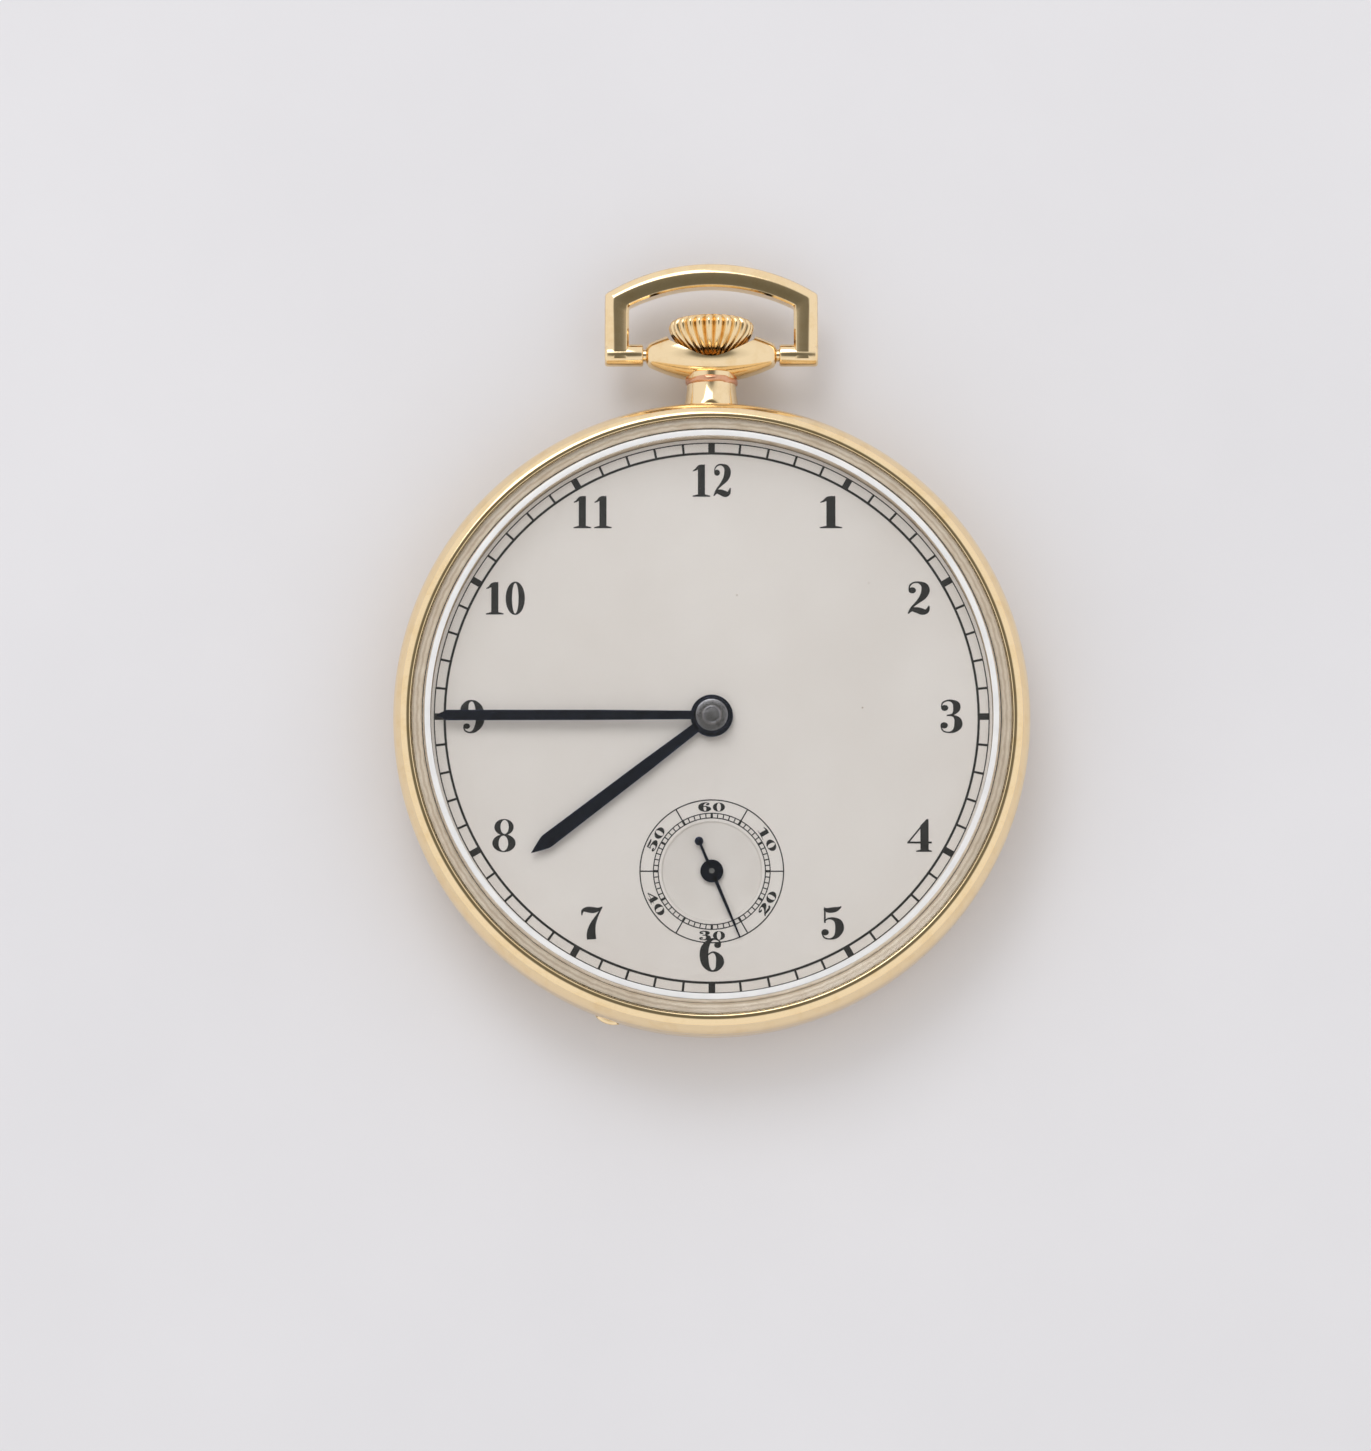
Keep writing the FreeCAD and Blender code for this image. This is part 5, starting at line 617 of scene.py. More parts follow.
def axis_solid(points, segments, place):
    """Solid turned about an axis from (along, radius) points; place() maps it."""
    verts = []
    faces = []
    count = len(points)
    for number in range(segments):
        angle = TAU * number / segments
        for along, radius in points:
            verts.append(place(along, radius * math.cos(angle), radius * math.sin(angle)))
    for number in range(segments):
        following = (number + 1) % segments
        for index in range(count - 1):
            faces.append((number * count + index, following * count + index,
                          following * count + index + 1, number * count + index + 1))
    first = [number * count for number in range(segments)]
    last = [number * count + count - 1 for number in range(segments)]
    faces.append(tuple(first))
    faces.append(tuple(reversed(last)))
    return verts, faces


def along_x(along, one, two):
    return (along, PENDANT_Y + one, STEM_Z + two)


def along_y(along, one, two):
    return (one, PENDANT_Y + along, STEM_Z + two)


def build_pendant():
    profile = [(-4.67, 0.30), (-4.67, 0.52), (-4.62, 0.63), (-4.55, 0.74)]
    steps = 36
    for step in range(steps + 1):
        x = -4.45 + 8.90 * step / steps
        profile.append((x, 1.95 - 0.055 * x * x))
    profile += [(4.55, 0.74), (4.62, 0.63), (4.67, 0.52), (4.67, 0.30)]
    verts, faces = axis_solid(profile, 96, along_x)
    body = add_mesh("pendant_barrel", verts, faces, gold, "case", "case_gold", 38.0)
    bowl = [(-0.62, 0.70), (-0.60, 1.62), (-0.54, 1.76), (0.80, 3.10), (0.90, 3.19), (1.00, 3.22),
            (2.10, 3.24)]
    cutter = bare_mesh("pendant_bowl_cut", *axis_solid(bowl, 96, along_y))
    bore = bare_mesh("pendant_bore_cut", *axis_solid([(-2.9, 0.62), (0.9, 0.62)], 48, along_y))
    cut_away(body, [cutter, bore])
    body.data.materials.clear()
    body.data.materials.append(gold)
    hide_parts("pendant")


def build_neck():
    """Waisted neck that flares into the band, with the solder seam on top."""
    outline = [(0.64, 20.98)]
    steps = 16
    for step in range(steps + 1):
        share = step / steps
        outline.append((1.74 + 1.18 * (1.0 - share) ** 2.9, 20.98 + share * 4.02))
    outline.append((0.64, 25.02))
    verts, faces = revolve_y(outline, 128)
    squeezed = []
    for x, y, z in verts:
        offset = z - STEM_Z
        if math.hypot(x, offset) > 1.0 and y < 22.5:
            offset = max(BAND_LOW - STEM_Z, min(BAND_HIGH - STEM_Z, offset))
        squeezed.append((x, y, STEM_Z + offset))
    add_mesh("case_neck", squeezed, faces, gold, "case", "case_gold", 45.0)

    def uneven(angle, index):
        return 0.05 * math.sin(3 * angle + index) + 0.035 * math.sin(7 * angle + 2.0 * index)

    seam = [(1.60, 24.12), (1.78, 24.20), (1.86, 24.38), (1.86, 24.60), (1.62, 24.72)]
    seam_verts, seam_faces = revolve_y(seam, 96, uneven)
    add_mesh("case_solder_seam", seam_verts, seam_faces, solder, "case", "case_gold", 60.0)


# ---------------------------------------------------------- bow and crown
BOW_OUTER = 7.63
BOW_INNER = 5.90


def arc_through(half, corner_y, peak_y, steps):
    """Points of the low arch from the left corner to the right one."""
    rise = peak_y - corner_y
    radius = (half * half + rise * rise) / (2.0 * rise)
    reach = math.asin(half / radius)
    points = []
    for step in range(steps + 1):
        angle = -reach + 2.0 * reach * step / steps
        points.append((radius * math.sin(angle), peak_y - radius * (1.0 - math.cos(angle))))
    return points


def build_bow():
    legs = 10
    arch = 48
    outer = []
    inner = []
    foot_y = PENDANT_Y - 0.35
    shoulder_y = PENDANT_Y + 4.21
    inner_shoulder_y = PENDANT_Y + 3.32
    for step in range(legs):
        share = step / legs
        outer.append((-BOW_OUTER, foot_y + (shoulder_y - foot_y) * share))
        inner.append((-BOW_INNER, foot_y + (inner_shoulder_y - foot_y) * share))
    outer += [(-7.61, shoulder_y + 0.11), (-7.54, shoulder_y + 0.23)]
    inner += [(-5.89, inner_shoulder_y + 0.08), (-5.84, inner_shoulder_y + 0.16)]
    outer += arc_through(7.44, shoulder_y + 0.31, PENDANT_Y + 6.62, arch)
    inner += arc_through(5.76, inner_shoulder_y + 0.22, PENDANT_Y + 4.88, arch)
    outer += [(7.54, shoulder_y + 0.23), (7.61, shoulder_y + 0.11)]
    inner += [(5.84, inner_shoulder_y + 0.16), (5.89, inner_shoulder_y + 0.08)]
    for step in range(legs):
        share = 1.0 - (step + 1) / legs
        outer.append((BOW_OUTER, foot_y + (shoulder_y - foot_y) * share))
        inner.append((BOW_INNER, foot_y + (inner_shoulder_y - foot_y) * share))
    outer[-1] = (BOW_OUTER, foot_y)
    inner[-1] = (BOW_INNER, foot_y)
    half = 0.79
    section = [(0.0, 0.20), (0.0, 0.32), (0.07, 0.47), (0.30, 0.66), (0.60, 0.765), (0.68, half),
               (0.80, half)]
    lower = [(0.22, half), (0.14, 0.765), (0.0, 0.60)]
    verts = []
    for one, two in zip(outer, inner):
        a = Vector(one)
        b = Vector(two)
        width = (b - a).length
        way = (b - a) / width
        ring = []
        for inset, height in section:
            point = a + way * inset
            ring.append((point.x, point.y, height))
        for inset, height in lower:
            point = b - way * inset
            ring.append((point.x, point.y, height))
        mirrored = [(x, y, -z) for x, y, z in reversed(ring)]
        verts.extend((x, y, STEM_Z + z) for x, y, z in ring + mirrored)
    count = 2 * (len(section) + len(lower))
    rows = len(outer)
    faces = []
    for row in range(rows - 1):
        for index in range(count):
            beyond = (index + 1) % count
            faces.append((row * count + index, (row + 1) * count + index,
                          (row + 1) * count + beyond, row * count + beyond))
    faces.append(tuple(range(count)))
    faces.append(tuple(reversed(range((rows - 1) * count, rows * count))))
    loop = add_mesh("bow_stirrup", verts, faces, gold, "bow", "case_gold", 24.0)
    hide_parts("bow")
    for side, name in ((-1, "bow_knuckle_left"), (1, "bow_knuckle_right")):
        profile = [(4.87, 0.49), (4.87, 0.70), (4.93, 0.78), (5.02, 0.80), (7.42, 0.80), (7.55, 0.76),
                   (7.62, 0.66), (7.63, 0.50), (7.63, 0.05)]
        tube = []
        for along, radius in profile:
            tube.append((side * along, radius))
        verts, faces = axis_solid(tube, 64, along_x)
        add_mesh(name, verts, faces, gold, "bow", "case_gold", 38.0)


CROWN_FLUTES = 25
CROWN_STATIONS = [
    (-0.37, 0.92, 0.00), (-0.30, 1.12, 0.00), (-0.12, 1.42, 0.04), (0.10, 1.72, 0.09), (0.35, 2.02, 0.13),
    (0.65, 2.33, 0.145), (1.00, 2.62, 0.15), (1.35, 2.86, 0.15), (1.65, 2.99, 0.145), (1.90, 3.05, 0.14),
    (2.08, 3.04, 0.14), (2.24, 2.97, 0.13), (2.37, 2.86, 0.11), (2.46, 2.70, 0.075), (2.52, 2.54, 0.035),
    (2.55, 2.40, 0.0), (2.58, 1.90, 0.0), (2.61, 1.10, 0.0), (2.62, 0.40, 0.0),
]
FLUTE_STEPS = 12


def build_crown():
    verts = []
    faces = []
    around = CROWN_FLUTES * FLUTE_STEPS
    for y, radius, depth in CROWN_STATIONS:
        for number in range(around):
            share = (number % FLUTE_STEPS) / FLUTE_STEPS
            lobe = abs(2.0 * share - 1.0)
            reach = radius * (1.0 - depth * lobe ** 2.6)
            angle = TAU * number / around
            verts.append((reach * math.cos(angle), PENDANT_Y + y, STEM_Z + reach * math.sin(angle)))
    rows = len(CROWN_STATIONS)
    for row in range(rows - 1):
        for number in range(around):
            following = (number + 1) % around
            faces.append((row * around + number, row * around + following,
                          (row + 1) * around + following, (row + 1) * around + number))
    faces.append(tuple(range(around)))
    faces.append(tuple(reversed(range((rows - 1) * around, rows * around))))
    crown = add_mesh("winding_crown", verts, faces, crown_metal, "stem", "crown_gold", 32.0)
    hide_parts("crown")


# ------------------------------------------------------------------- dial
DIAL_BOX = node_size("dial")
DIAL_TOP = DIAL_BOX[1].z
DIAL_LOW = 5.15
INK_THICK = 0.012
INK_LEVEL = DIAL_TOP
SECONDS_CENTRE = (0.0, -10.97)
SINK_RADIUS = 3.55
SINK_DEPTH = 0.12


def loop_points(radius, count, z, centre=(0.0, 0.0)):
    return [(centre[0] + radius * math.cos(TAU * step / count),
             centre[1] + radius * math.sin(TAU * step / count), z) for step in range(count)]


def build_dial():
    """Flat plate with a centre hole and the opening over the sunk seconds disc."""
    outer = node_size("dial")[1].x
    loops = [(outer, 256, (0.0, 0.0)), (1.10, 96, (0.0, 0.0)), (SINK_RADIUS, 160, SECONDS_CENTRE)]
    work = bmesh.new()
    rings = []
    for radius, count, centre in loops:
        points = [work.verts.new(Vector(p) * MM) for p in loop_points(radius, count, DIAL_TOP, centre)]
        rings.append([work.edges.new((points[i], points[(i + 1) % count])) for i in range(count)])
    edges = [edge for ring in rings for edge in ring]
    filled = bmesh.ops.triangle_fill(work, use_beauty=True, use_dissolve=False, edges=edges)
    top = [item for item in filled["geom"] if isinstance(item, bmesh.types.BMFace)]
    grown = bmesh.ops.extrude_face_region(work, geom=top)
    moved = [item for item in grown["geom"] if isinstance(item, bmesh.types.BMVert)]
    bmesh.ops.translate(work, verts=moved, vec=(0.0, 0.0, (DIAL_LOW - DIAL_TOP) * MM))
    bmesh.ops.recalc_face_normals(work, faces=work.faces)
    mesh = bpy.data.meshes.new("dial_plate")
    work.to_mesh(mesh)
    work.free()
    mesh.shade_smooth()
    mesh.set_sharp_from_angle(angle=math.radians(30.0))
    mesh.materials.append(dial_paint)
    plate = bpy.data.objects.new("dial_plate", mesh)
    bpy.context.scene.collection.objects.link(plate)
    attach(plate, "case")
    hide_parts("dial")
    floor_z = DIAL_TOP - SINK_DEPTH
    outline = [(0.50, DIAL_LOW + 0.02), (0.50, floor_z), (SINK_RADIUS - 0.22, floor_z),
               (SINK_RADIUS - 0.10, floor_z + 0.015), (SINK_RADIUS - 0.03, DIAL_TOP - 0.03),
               (SINK_RADIUS, DIAL_TOP - 0.004), (SINK_RADIUS, DIAL_LOW + 0.02)]
    verts, faces = lathe(outline, 192, SECONDS_CENTRE)
    sunk = make_turned_dial_material("dial_seconds_turned", SECONDS_CENTRE, 2600.0)
    add_mesh("dial_seconds_disc", verts, faces, sunk, "case", "dial_silver", 30.0)


# ---------------------------------------------------------- dial printing
def annulus(outer, inner, z, centre=(0.0, 0.0), segments=256):
    """Thin printed ring, standing INK_THICK above z."""
    return lathe([(outer, z), (outer, z + INK_THICK), (inner, z + INK_THICK), (inner, z)], segments, centre)


def slab(points, z):
    """Thin printed patch on a simple outline."""
    count = len(points)
    verts = [(x, y, z) for x, y in points] + [(x, y, z + INK_THICK) for x, y in points]
    faces = [tuple(range(count, 2 * count)), tuple(reversed(range(count)))]
    for index in range(count):
        beyond = (index + 1) % count
        faces.append((index, beyond, count + beyond, count + index))
    return verts, faces


def radial_bar(inner, outer, width, degrees, z, centre=(0.0, 0.0)):
    """Printed bar along a radius; degrees count clockwise from 12 o'clock."""
    half = width / 2
    points = [(inner, -half), (outer, -half), (outer, half), (inner, half)]
    verts, faces = slab(points, z)
    return turn_points(verts, 90.0 - degrees, centre), faces


def build_minute_track():
    z = INK_LEVEL
    parts = [annulus(19.61, 19.53, z), annulus(18.92, 18.75, z)]
    for minute in range(60):
        width = 0.47 if minute % 5 == 0 else 0.165
        parts.append(radial_bar(18.82, 19.57, width, minute * 6.0, z + 0.001))
    verts, faces = merge(parts)
    add_mesh("print_minute_track", verts, faces, ink, "case", "dial_silver", 20.0)


def build_seconds_track():
    z = INK_LEVEL
    parts = [annulus(5.09, 5.005, z, SECONDS_CENTRE, 160), annulus(4.14, 4.065, z, SECONDS_CENTRE, 160),
             annulus(3.81, 3.735, z, SECONDS_CENTRE, 160)]
    for second in range(60):
        bold = second % 5 == 0
        width = 0.17 if bold else 0.078
        parts.append(radial_bar(3.79, 4.09, width, second * 6.0, z + 0.001, SECONDS_CENTRE))
    for second in (5, 15, 25, 35, 45, 55):
        parts.append(radial_bar(4.09, 5.03, 0.09, second * 6.0, z + 0.002, SECONDS_CENTRE))
    verts, faces = merge(parts)
    add_mesh("print_seconds_track", verts, faces, ink, "case", "dial_silver", 20.0)


# --------------------------------------------------------------- numerals
# Each figure stands on the line y = 0, is 1 high and about 0.62 wide.
# "pen" strokes are (x, y, half width) points, "dot" is (x, y, radius),
# "bar" is a polygon and "ring" is an oval with an oval hole.
FIGURES = {
    "0": [("ring", (0.31, 0.50, 0.31, 0.515), (0.31, 0.50, 0.105, 0.47))],
    "1": [("bar", ((0.20, 0.02), (0.43, 0.02), (0.43, 1.0), (0.39, 1.0), (0.20, 0.90))),
          ("bar", ((0.03, 0.0), (0.60, 0.0), (0.60, 0.035), (0.43, 0.075), (0.20, 0.075), (0.03, 0.035))),
          ("pen", ((0.04, 0.80, 0.014), (0.13, 0.84, 0.030), (0.24, 0.93, 0.050), (0.36, 0.99, 0.012)))],
    "2": [("dot", (0.155, 0.745, 0.095)),
          ("pen", ((0.070, 0.77, 0.012), (0.10, 0.90, 0.022), (0.20, 0.985, 0.024), (0.33, 0.985, 0.034),
                   (0.46, 0.90, 0.085), (0.495, 0.74, 0.108), (0.43, 0.55, 0.088), (0.28, 0.37, 0.046),
                   (0.13, 0.20, 0.026), (0.055, 0.03, 0.022))),
          ("pen", ((0.045, 0.02, 0.010), (0.14, 0.145, 0.058), (0.28, 0.135, 0.090), (0.42, 0.085, 0.098),
                   (0.53, 0.115, 0.060), (0.585, 0.27, 0.016)))],
    "3": [("dot", (0.150, 0.765, 0.092)),
          ("pen", ((0.065, 0.79, 0.012), (0.10, 0.92, 0.022), (0.22, 0.99, 0.024), (0.34, 0.975, 0.044),
                   (0.445, 0.88, 0.090), (0.450, 0.72, 0.088), (0.36, 0.575, 0.034), (0.20, 0.535, 0.018))),
          ("pen", ((0.20, 0.535, 0.018), (0.37, 0.520, 0.032), (0.480, 0.40, 0.090), (0.490, 0.22, 0.104),
                   (0.40, 0.07, 0.058), (0.26, 0.014, 0.024), (0.11, 0.06, 0.022), (0.050, 0.20, 0.012))),
          ("dot", (0.135, 0.230, 0.095))],
    "4": [("bar", ((0.33, 0.0), (0.54, 0.0), (0.54, 1.0), (0.49, 1.0), (0.33, 0.80))),
          ("pen", ((0.50, 0.985, 0.020), (0.03, 0.300, 0.022))),
          ("bar", ((0.0, 0.255), (0.62, 0.255), (0.62, 0.315), (0.0, 0.315))),
          ("bar", ((0.22, 0.0), (0.62, 0.0), (0.62, 0.035), (0.54, 0.065), (0.33, 0.065), (0.22, 0.035)))],
    "5": [("bar", ((0.105, 0.50), (0.150, 0.50), (0.150, 0.96), (0.105, 0.98))),
          ("pen", ((0.105, 0.930, 0.030), (0.22, 0.885, 0.074), (0.38, 0.905, 0.078), (0.50, 0.960, 0.036),
                   (0.545, 1.010, 0.010))),
          ("pen", ((0.110, 0.535, 0.012), (0.20, 0.625, 0.024), (0.34, 0.625, 0.046), (0.470, 0.52, 0.098),
                   (0.500, 0.31, 0.110), (0.42, 0.10, 0.066), (0.27, 0.014, 0.024), (0.12, 0.05, 0.022),
                   (0.050, 0.19, 0.012))),
          ("dot", (0.135, 0.215, 0.095))],
    "6": [("dot", (0.455, 0.795, 0.085)),
          ("pen", ((0.535, 0.82, 0.012), (0.49, 0.935, 0.022), (0.37, 0.988, 0.026), (0.24, 0.92, 0.060),
                   (0.135, 0.72, 0.102), (0.110, 0.47, 0.110), (0.150, 0.22, 0.094), (0.24, 0.06, 0.048),
                   (0.335, 0.014, 0.026), (0.44, 0.07, 0.056), (0.510, 0.23, 0.100), (0.505, 0.40, 0.094),
                   (0.42, 0.545, 0.046), (0.32, 0.585, 0.024), (0.20, 0.50, 0.020)))],
    "7": [("pen", ((0.060, 0.730, 0.012), (0.085, 0.87, 0.040), (0.20, 0.905, 0.086), (0.36, 0.890, 0.090),
                   (0.49, 0.920, 0.050), (0.580, 0.990, 0.014))),
          ("pen", ((0.575, 0.985, 0.014), (0.45, 0.72, 0.034), (0.34, 0.45, 0.076), (0.30, 0.20, 0.112),
                   (0.31, 0.0, 0.118)))],
    "8": [("ring", (0.31, 0.755, 0.245, 0.248), (0.325, 0.760, 0.105, 0.212)),
          ("ring", (0.31, 0.265, 0.295, 0.272), (0.295, 0.262, 0.120, 0.232))],
}
PEN_STEPS = 5
RING_STEPS = 48
DOT_STEPS = 28


def curve_point(points, span, share):
    """Smooth point between points[span] and points[span + 1]."""
    last = len(points) - 1
    p0, p1, p2, p3 = (points[min(max(span + shift, 0), last)] for shift in (-1, 0, 1, 2))
    result = []
    for a, b, c, d in zip(p0, p1, p2, p3):
        result.append(0.5 * (2 * b + (c - a) * share + (2 * a - 5 * b + 4 * c - d) * share ** 2
                             + (3 * b - a - 3 * c + d) * share ** 3))
    return result


def pen_outline(points):
    """Closed outline of a stroke whose width changes along its length."""
    line = []
    for span in range(len(points) - 1):
        for step in range(PEN_STEPS):
            line.append(curve_point(points, span, step / PEN_STEPS))
    line.append(list(points[-1]))
    left = []
    right = []
    for index, (x, y, half) in enumerate(line):
        before = line[max(index - 1, 0)]
        after = line[min(index + 1, len(line) - 1)]
        dx = after[0] - before[0]
        dy = after[1] - before[1]
        length = math.hypot(dx, dy) or 1.0
        left.append((x - dy / length * half, y + dx / length * half))
        right.append((x + dy / length * half, y - dx / length * half))
    return left, right


def strip_solid(left, right, z):
    """Thin solid between two matching edges."""
    count = len(left)
    verts = []
    for level in (z, z + INK_THICK):
        verts += [(x, y, level) for x, y in left] + [(x, y, level) for x, y in right]
    top = 2 * count
    faces = []
    for index in range(count - 1):
        faces.append((top + index, top + index + 1, top + count + index + 1, top + count + index))
        faces.append((index, count + index, count + index + 1, index + 1))
        faces.append((index, index + 1, top + index + 1, top + index))
        faces.append((count + index, top + count + index, top + count + index + 1, count + index + 1))
    faces.append((0, top, top + count, count))
    faces.append((count - 1, 2 * count - 1, top + 2 * count - 1, top + count - 1))
    return verts, faces


def oval(x, y, rx, ry, steps):
    return [(x + rx * math.cos(TAU * step / steps), y + ry * math.sin(TAU * step / steps))
            for step in range(steps)]


def figure_solids(character, place, z, weight=0.0):
    """Parts of one figure; place() turns unit points into dial millimetres."""
    parts = []
    strokes = FIGURES["6"] if character == "9" else FIGURES[character]

    def put(point):
        x, y = point
        if character == "9":
            x, y = 0.62 - x, 1.0 - y
        return place(x, y)

    for order, (kind, *shape) in enumerate(strokes):
        level = z + 0.0006 * order
        if kind == "ring":
            outer = [put(p) for p in oval(*shape[0], RING_STEPS)]
            inner = [put(p) for p in oval(*shape[1], RING_STEPS)]
            parts.append(strip_solid(outer + outer[:1], inner + inner[:1], level))
        elif kind == "dot":
            x, y, radius = shape[0]
            parts.append(slab([put(p) for p in oval(x, y, radius, radius, DOT_STEPS)], level))
        elif kind == "bar":
            parts.append(slab([put(p) for p in shape[0]], level))
        else:
            left, right = pen_outline([(x, y, half + weight) for x, y, half in shape[0]])
            parts.append(strip_solid([put(p) for p in left], [put(p) for p in right], level))
    return parts


def number_solids(text, centre, height, figure_width, gap, z, turn=0.0, weight=0.0):
    """A whole number, centred on a point; turn is in degrees clockwise."""
    total = len(text) * figure_width + (len(text) - 1) * gap
    cosine = math.cos(math.radians(-turn))
    sine = math.sin(math.radians(-turn))
    parts = []
    for order, character in enumerate(text):
        left = -total / 2 + order * (figure_width + gap)

        def place(x, y, left=left):
            px = left + x / 0.62 * figure_width
            py = (y - 0.5) * height
            return (centre[0] + px * cosine - py * sine, centre[1] + px * sine + py * cosine)

        parts += figure_solids(character, place, z, weight)
    return parts


HOUR_RADIUS = 16.88
HOUR_HEIGHT = 2.32


def build_hour_numerals():
    """Upright Arabic figures, one for each hour."""
    for hour in range(1, 13):
        angle = math.radians(90.0 - hour * 30.0)
        centre = (HOUR_RADIUS * math.cos(angle), HOUR_RADIUS * math.sin(angle))
        wide = 1.72 if hour < 10 else 1.36
        parts = number_solids(str(hour), centre, HOUR_HEIGHT, wide, 0.10, INK_LEVEL)
        verts, faces = merge(parts)
        add_mesh("print_hour_%02d" % hour, verts, faces, ink, "case", "dial_silver", 20.0)


SECONDS_FIGURE_RADIUS = 4.54
SECONDS_FIGURE_HEIGHT = 0.62


def build_seconds_numerals():
    """Tens of seconds; the three lower ones are turned to stay readable."""
    parts = []
    for second in (60, 10, 20, 30, 40, 50):
        bearing = (second * 6) % 360
        angle = math.radians(90.0 - bearing)
        centre = (SECONDS_CENTRE[0] + SECONDS_FIGURE_RADIUS * math.cos(angle),
                  SECONDS_CENTRE[1] + SECONDS_FIGURE_RADIUS * math.sin(angle))
        turn = bearing if second in (60, 10, 50) else bearing + 180.0
        parts += number_solids(str(second), centre, SECONDS_FIGURE_HEIGHT, 0.85, 0.15, INK_LEVEL, turn, 0.022)
    verts, faces = merge(parts)
    add_mesh("print_seconds_figures", verts, faces, ink, "case", "dial_silver", 20.0)


# ------------------------------------------------------------------ hands
def blade(stations, low, high, bevel, droop=0.0):
    """Hand blade along +X from (x, half width) stations, with bevelled top edges."""
    verts = []
    faces = []
    last = stations[-1][0]
    for x, half in stations:
        inset = min(bevel, half * 0.8)
        sag = droop * max(0.0, (x - last * 0.82) / (last * 0.18)) ** 2
        crown = high - sag
        for y, z in ((-half, low - sag), (-half, crown - bevel * 0.55), (-half + inset, crown),
                     (half - inset, crown), (half, crown - bevel * 0.55), (half, low - sag)):
            verts.append((x, y, z))
    rows = len(stations)
    for row in range(rows - 1):
        for index in range(6):
            beyond = (index + 1) % 6
            faces.append((row * 6 + index, (row + 1) * 6 + index, (row + 1) * 6 + beyond, row * 6 + beyond))
    faces.append(tuple(range(6)))
    faces.append(tuple(reversed(range((rows - 1) * 6, rows * 6))))
    return verts, faces


def hub_ring(outer, inner, low, high, edge):
    return lathe([(inner, low), (outer, low), (outer, high - edge), (outer - edge, high), (inner, high)], 96)


def build_hands():
    low, high = node_size("hour_hand")
    parts = [blade([(1.10, 0.34), (6.0, 0.44), (14.60, 0.515), (14.78, 0.49), (15.40, 0.25), (15.98, 0.02)],
                   low.z, high.z, 0.07), hub_ring(1.50, 0.95, low.z, high.z, 0.07)]
    verts, faces = merge(parts)
    hand = add_mesh("hand_hour", turn_points(verts, 90.0 - 232.5), faces, blued, "hour", "blued_steel", 25.0)
    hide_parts("hour_hand")
    low, high = node_size("minute_hand")
    parts = [blade([(0.95, 0.30), (8.0, 0.36), (18.55, 0.37), (18.70, 0.355), (19.10, 0.17), (19.38, 0.02)],
                   low.z, high.z, 0.05, 0.10), hub_ring(1.30, 0.50, low.z, high.z, 0.06)]
    verts, faces = merge(parts)
    verts = turn_points(verts, 90.0 - 270.0)
    hand = add_mesh("hand_minute", verts, faces, blued, "centre", "blued_steel", 25.0)
    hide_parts("minute_hand")
    low, high = node_size("seconds_hand")
    top = 5.79
    under = 5.70
    parts = [blade([(-2.30, 0.09), (-0.60, 0.11), (0.60, 0.125), (3.0, 0.10), (5.0, 0.055), (5.10, 0.02)],
                   under, top, 0.03),
             hub_ring(0.81, 0.20, under, top, 0.05),
             hub_ring(0.38, 0.20, low.z, high.z, 0.02)]
    ball = closed_lathe([(0.0, under), (0.27, under), (0.31, under + 0.03), (0.29, top - 0.02), (0.20, top),
                         (0.0, top)], 48, (-2.30, 0.0))
    verts, faces = merge(parts + [ball])
    hand = add_mesh("hand_seconds", turn_points(verts, 90.0 - 157.1, SECONDS_CENTRE), faces, blued,
                    "fourth", "blued_steel", 25.0)
    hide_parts("seconds_hand")
    cap = closed_lathe([(0.0, high.z - 0.03), (0.18, high.z - 0.03), (0.195, high.z - 0.01), (0.15, high.z),
                        (0.0, high.z)], 48, SECONDS_CENTRE)
    add_mesh("hand_seconds_pivot", *cap, brass, "fourth", "gilt_brass", 25.0)


def build_collet():
    low, high = node_size("minute_collet")
    disc = closed_lathe([(0.0, low.z + 0.02), (0.52, low.z + 0.02), (0.52, low.z), (1.10, low.z),
                         (1.14, low.z + 0.03), (1.12, low.z + 0.08), (1.05, low.z + 0.10),
                         (0.70, low.z + 0.10), (0.68, low.z + 0.12),
                         (0.68, high.z - 0.05), (0.64, high.z - 0.01), (0.58, high.z), (0.54, high.z - 0.02),
                         (0.50, high.z - 0.09), (0.30, high.z - 0.07), (0.0, high.z - 0.05)], 96)
    piece = add_mesh("hand_collet", *disc, collet_steel, "centre", "polished_steel", 28.0)
    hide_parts("minute_collet")


# ------------------------------------------------------------------ stage
def build_floor():
    shader = Shader("floor_paper")
    clouds = shader.noise(18.0, 5.0, 0.6)
    tone = shader.ramp(clouds, "Fac", [(0.30, srgb(231, 230, 233)), (0.75, srgb(237, 236, 239))])
    shader.link(tone, "Color", shader.main, "Base Color")
    fibre = shader.noise(1600.0, 4.0, 0.7)
    dull = shader.range(fibre, "Fac", 0.75, 0.95)
    shader.link(dull, "Result", shader.main, "Roughness")
    shader.bump(fibre, "Fac", 0.12, 0.00002)
    half = 0.9
    mesh = bpy.data.meshes.new("floor")
    corners = [(-half, -half, 0), (half, -half, 0), (half, half, 0), (-half, half, 0)]
    mesh.from_pydata(corners, [], [(0, 1, 2, 3)])
    floor = bpy.data.objects.new("floor", mesh)
    bpy.context.scene.collection.objects.link(floor)
    mesh.materials.append(shader.material)


def add_light(name, place, aim, size, power, colour):
    light = bpy.data.lights.new(name, "AREA")
    light.shape = "RECTANGLE"
    light.size, light.size_y = size
    light.energy = power
    light.color = colour
    lamp = bpy.data.objects.new(name, light)
    bpy.context.scene.collection.objects.link(lamp)
    lamp.location = place
    lamp.rotation_euler = (Vector(aim) - Vector(place)).to_track_quat("-Z", "Y").to_euler()
    return lamp


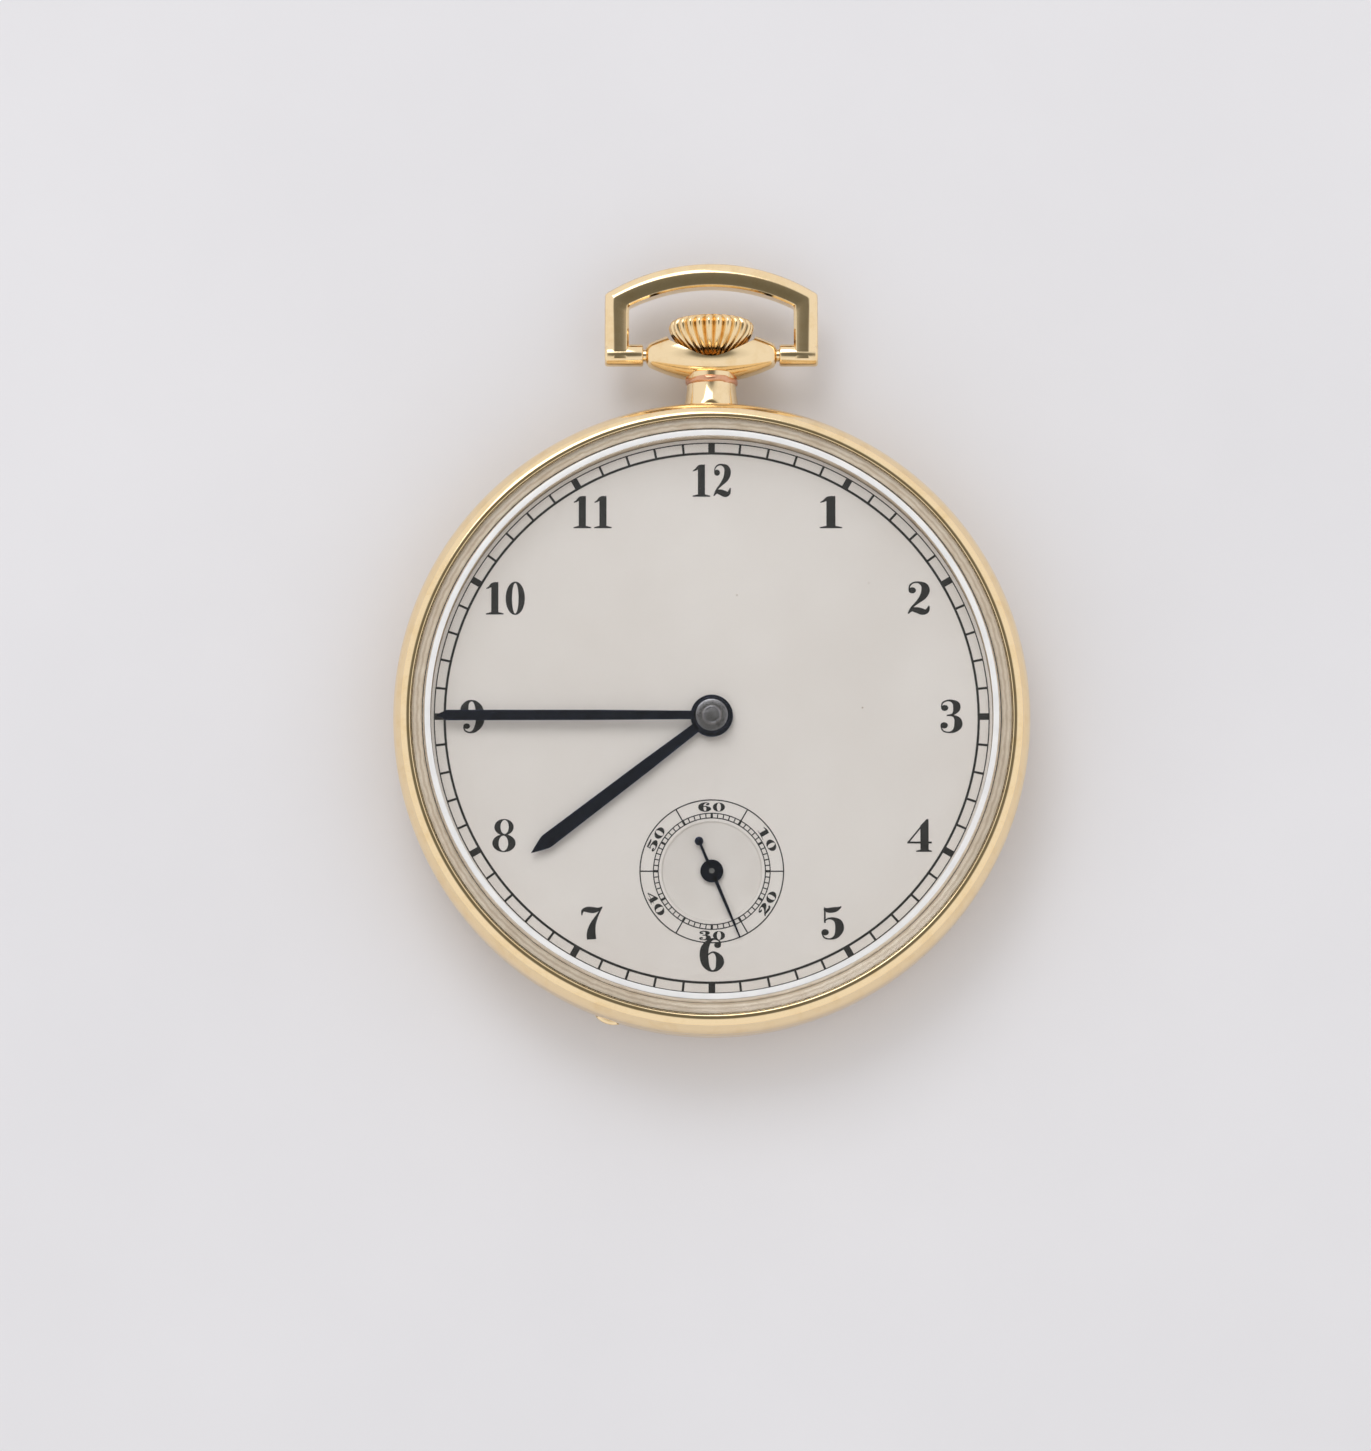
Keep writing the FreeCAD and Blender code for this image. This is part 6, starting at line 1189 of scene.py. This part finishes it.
def build_world():
    world = bpy.data.worlds.new("studio")
    bpy.context.scene.world = world
    world.use_nodes = True
    tree = world.node_tree
    tree.nodes.clear()
    output = tree.nodes.new("ShaderNodeOutputWorld")
    back = tree.nodes.new("ShaderNodeBackground")
    place = tree.nodes.new("ShaderNodeTexCoord")
    split = tree.nodes.new("ShaderNodeSeparateXYZ")
    ramp = tree.nodes.new("ShaderNodeValToRGB")
    shift = tree.nodes.new("ShaderNodeMapRange")
    shift.inputs["From Min"].default_value = -0.2
    shift.inputs["From Max"].default_value = 1.0
    tree.links.new(place.outputs["Generated"], split.inputs["Vector"])
    tree.links.new(split.outputs["Z"], shift.inputs["Value"])
    tree.links.new(shift.outputs["Result"], ramp.inputs["Fac"])
    stops = [(0.0, (0.88, 0.87, 0.88)), (0.20, (0.98, 0.97, 0.98)), (0.50, (1.0, 0.99, 1.0)),
             (0.84, (1.0, 0.995, 1.0)), (0.925, (0.82, 0.81, 0.80)), (0.965, (0.24, 0.235, 0.21)),
             (1.0, (0.16, 0.155, 0.13))]
    elements = ramp.color_ramp.elements
    while len(elements) < len(stops):
        elements.new(0.5)
    for element, (position, colour) in zip(elements, stops):
        element.position = position
        element.color = (*colour, 1.0)
    tree.links.new(ramp.outputs["Color"], back.inputs["Color"])
    back.inputs["Strength"].default_value = 0.92
    tree.links.new(back.outputs["Background"], output.inputs["Surface"])


def build_lights():
    bpy.context.scene.view_settings.view_transform = "Standard"
    build_world()
    add_light("key", (-0.14, 0.42, 0.50), (0, 0, 0), (0.34, 0.34), 0.85, (0.98, 0.99, 1.0))


# The picture's centre lies a little to the left of and below the dial's centre.
FRAME_WIDTH = 97.22
VIEW_TILT = 7.5
VIEW_DISTANCE = 420.0
AIM = (-1.85, -0.38, 3.9)


def build_camera():
    camera = bpy.data.cameras.new("camera")
    eye = bpy.data.objects.new("camera", camera)
    bpy.context.scene.collection.objects.link(eye)
    tilt = math.radians(VIEW_TILT)
    eye.location = Vector((AIM[0], AIM[1] - VIEW_DISTANCE * math.sin(tilt),
                           AIM[2] + VIEW_DISTANCE * math.cos(tilt))) * MM
    eye.rotation_euler = (tilt, 0.0, 0.0)
    camera.sensor_fit = "HORIZONTAL"
    camera.sensor_width = 36.0
    camera.lens = 36.0 * VIEW_DISTANCE / FRAME_WIDTH
    camera.clip_start = 0.01
    camera.clip_end = 10.0
    bpy.context.scene.camera = eye


# ------------------------------------------------------------------ build
paint_cad_nodes()
build_bezel()
build_crystal()
build_band()
build_back()
build_pendant()
build_neck()
build_bow()
build_crown()
build_dial()
build_minute_track()
build_seconds_track()
build_hour_numerals()
build_seconds_numerals()
build_hands()
build_collet()
build_floor()
build_lights()
build_camera()
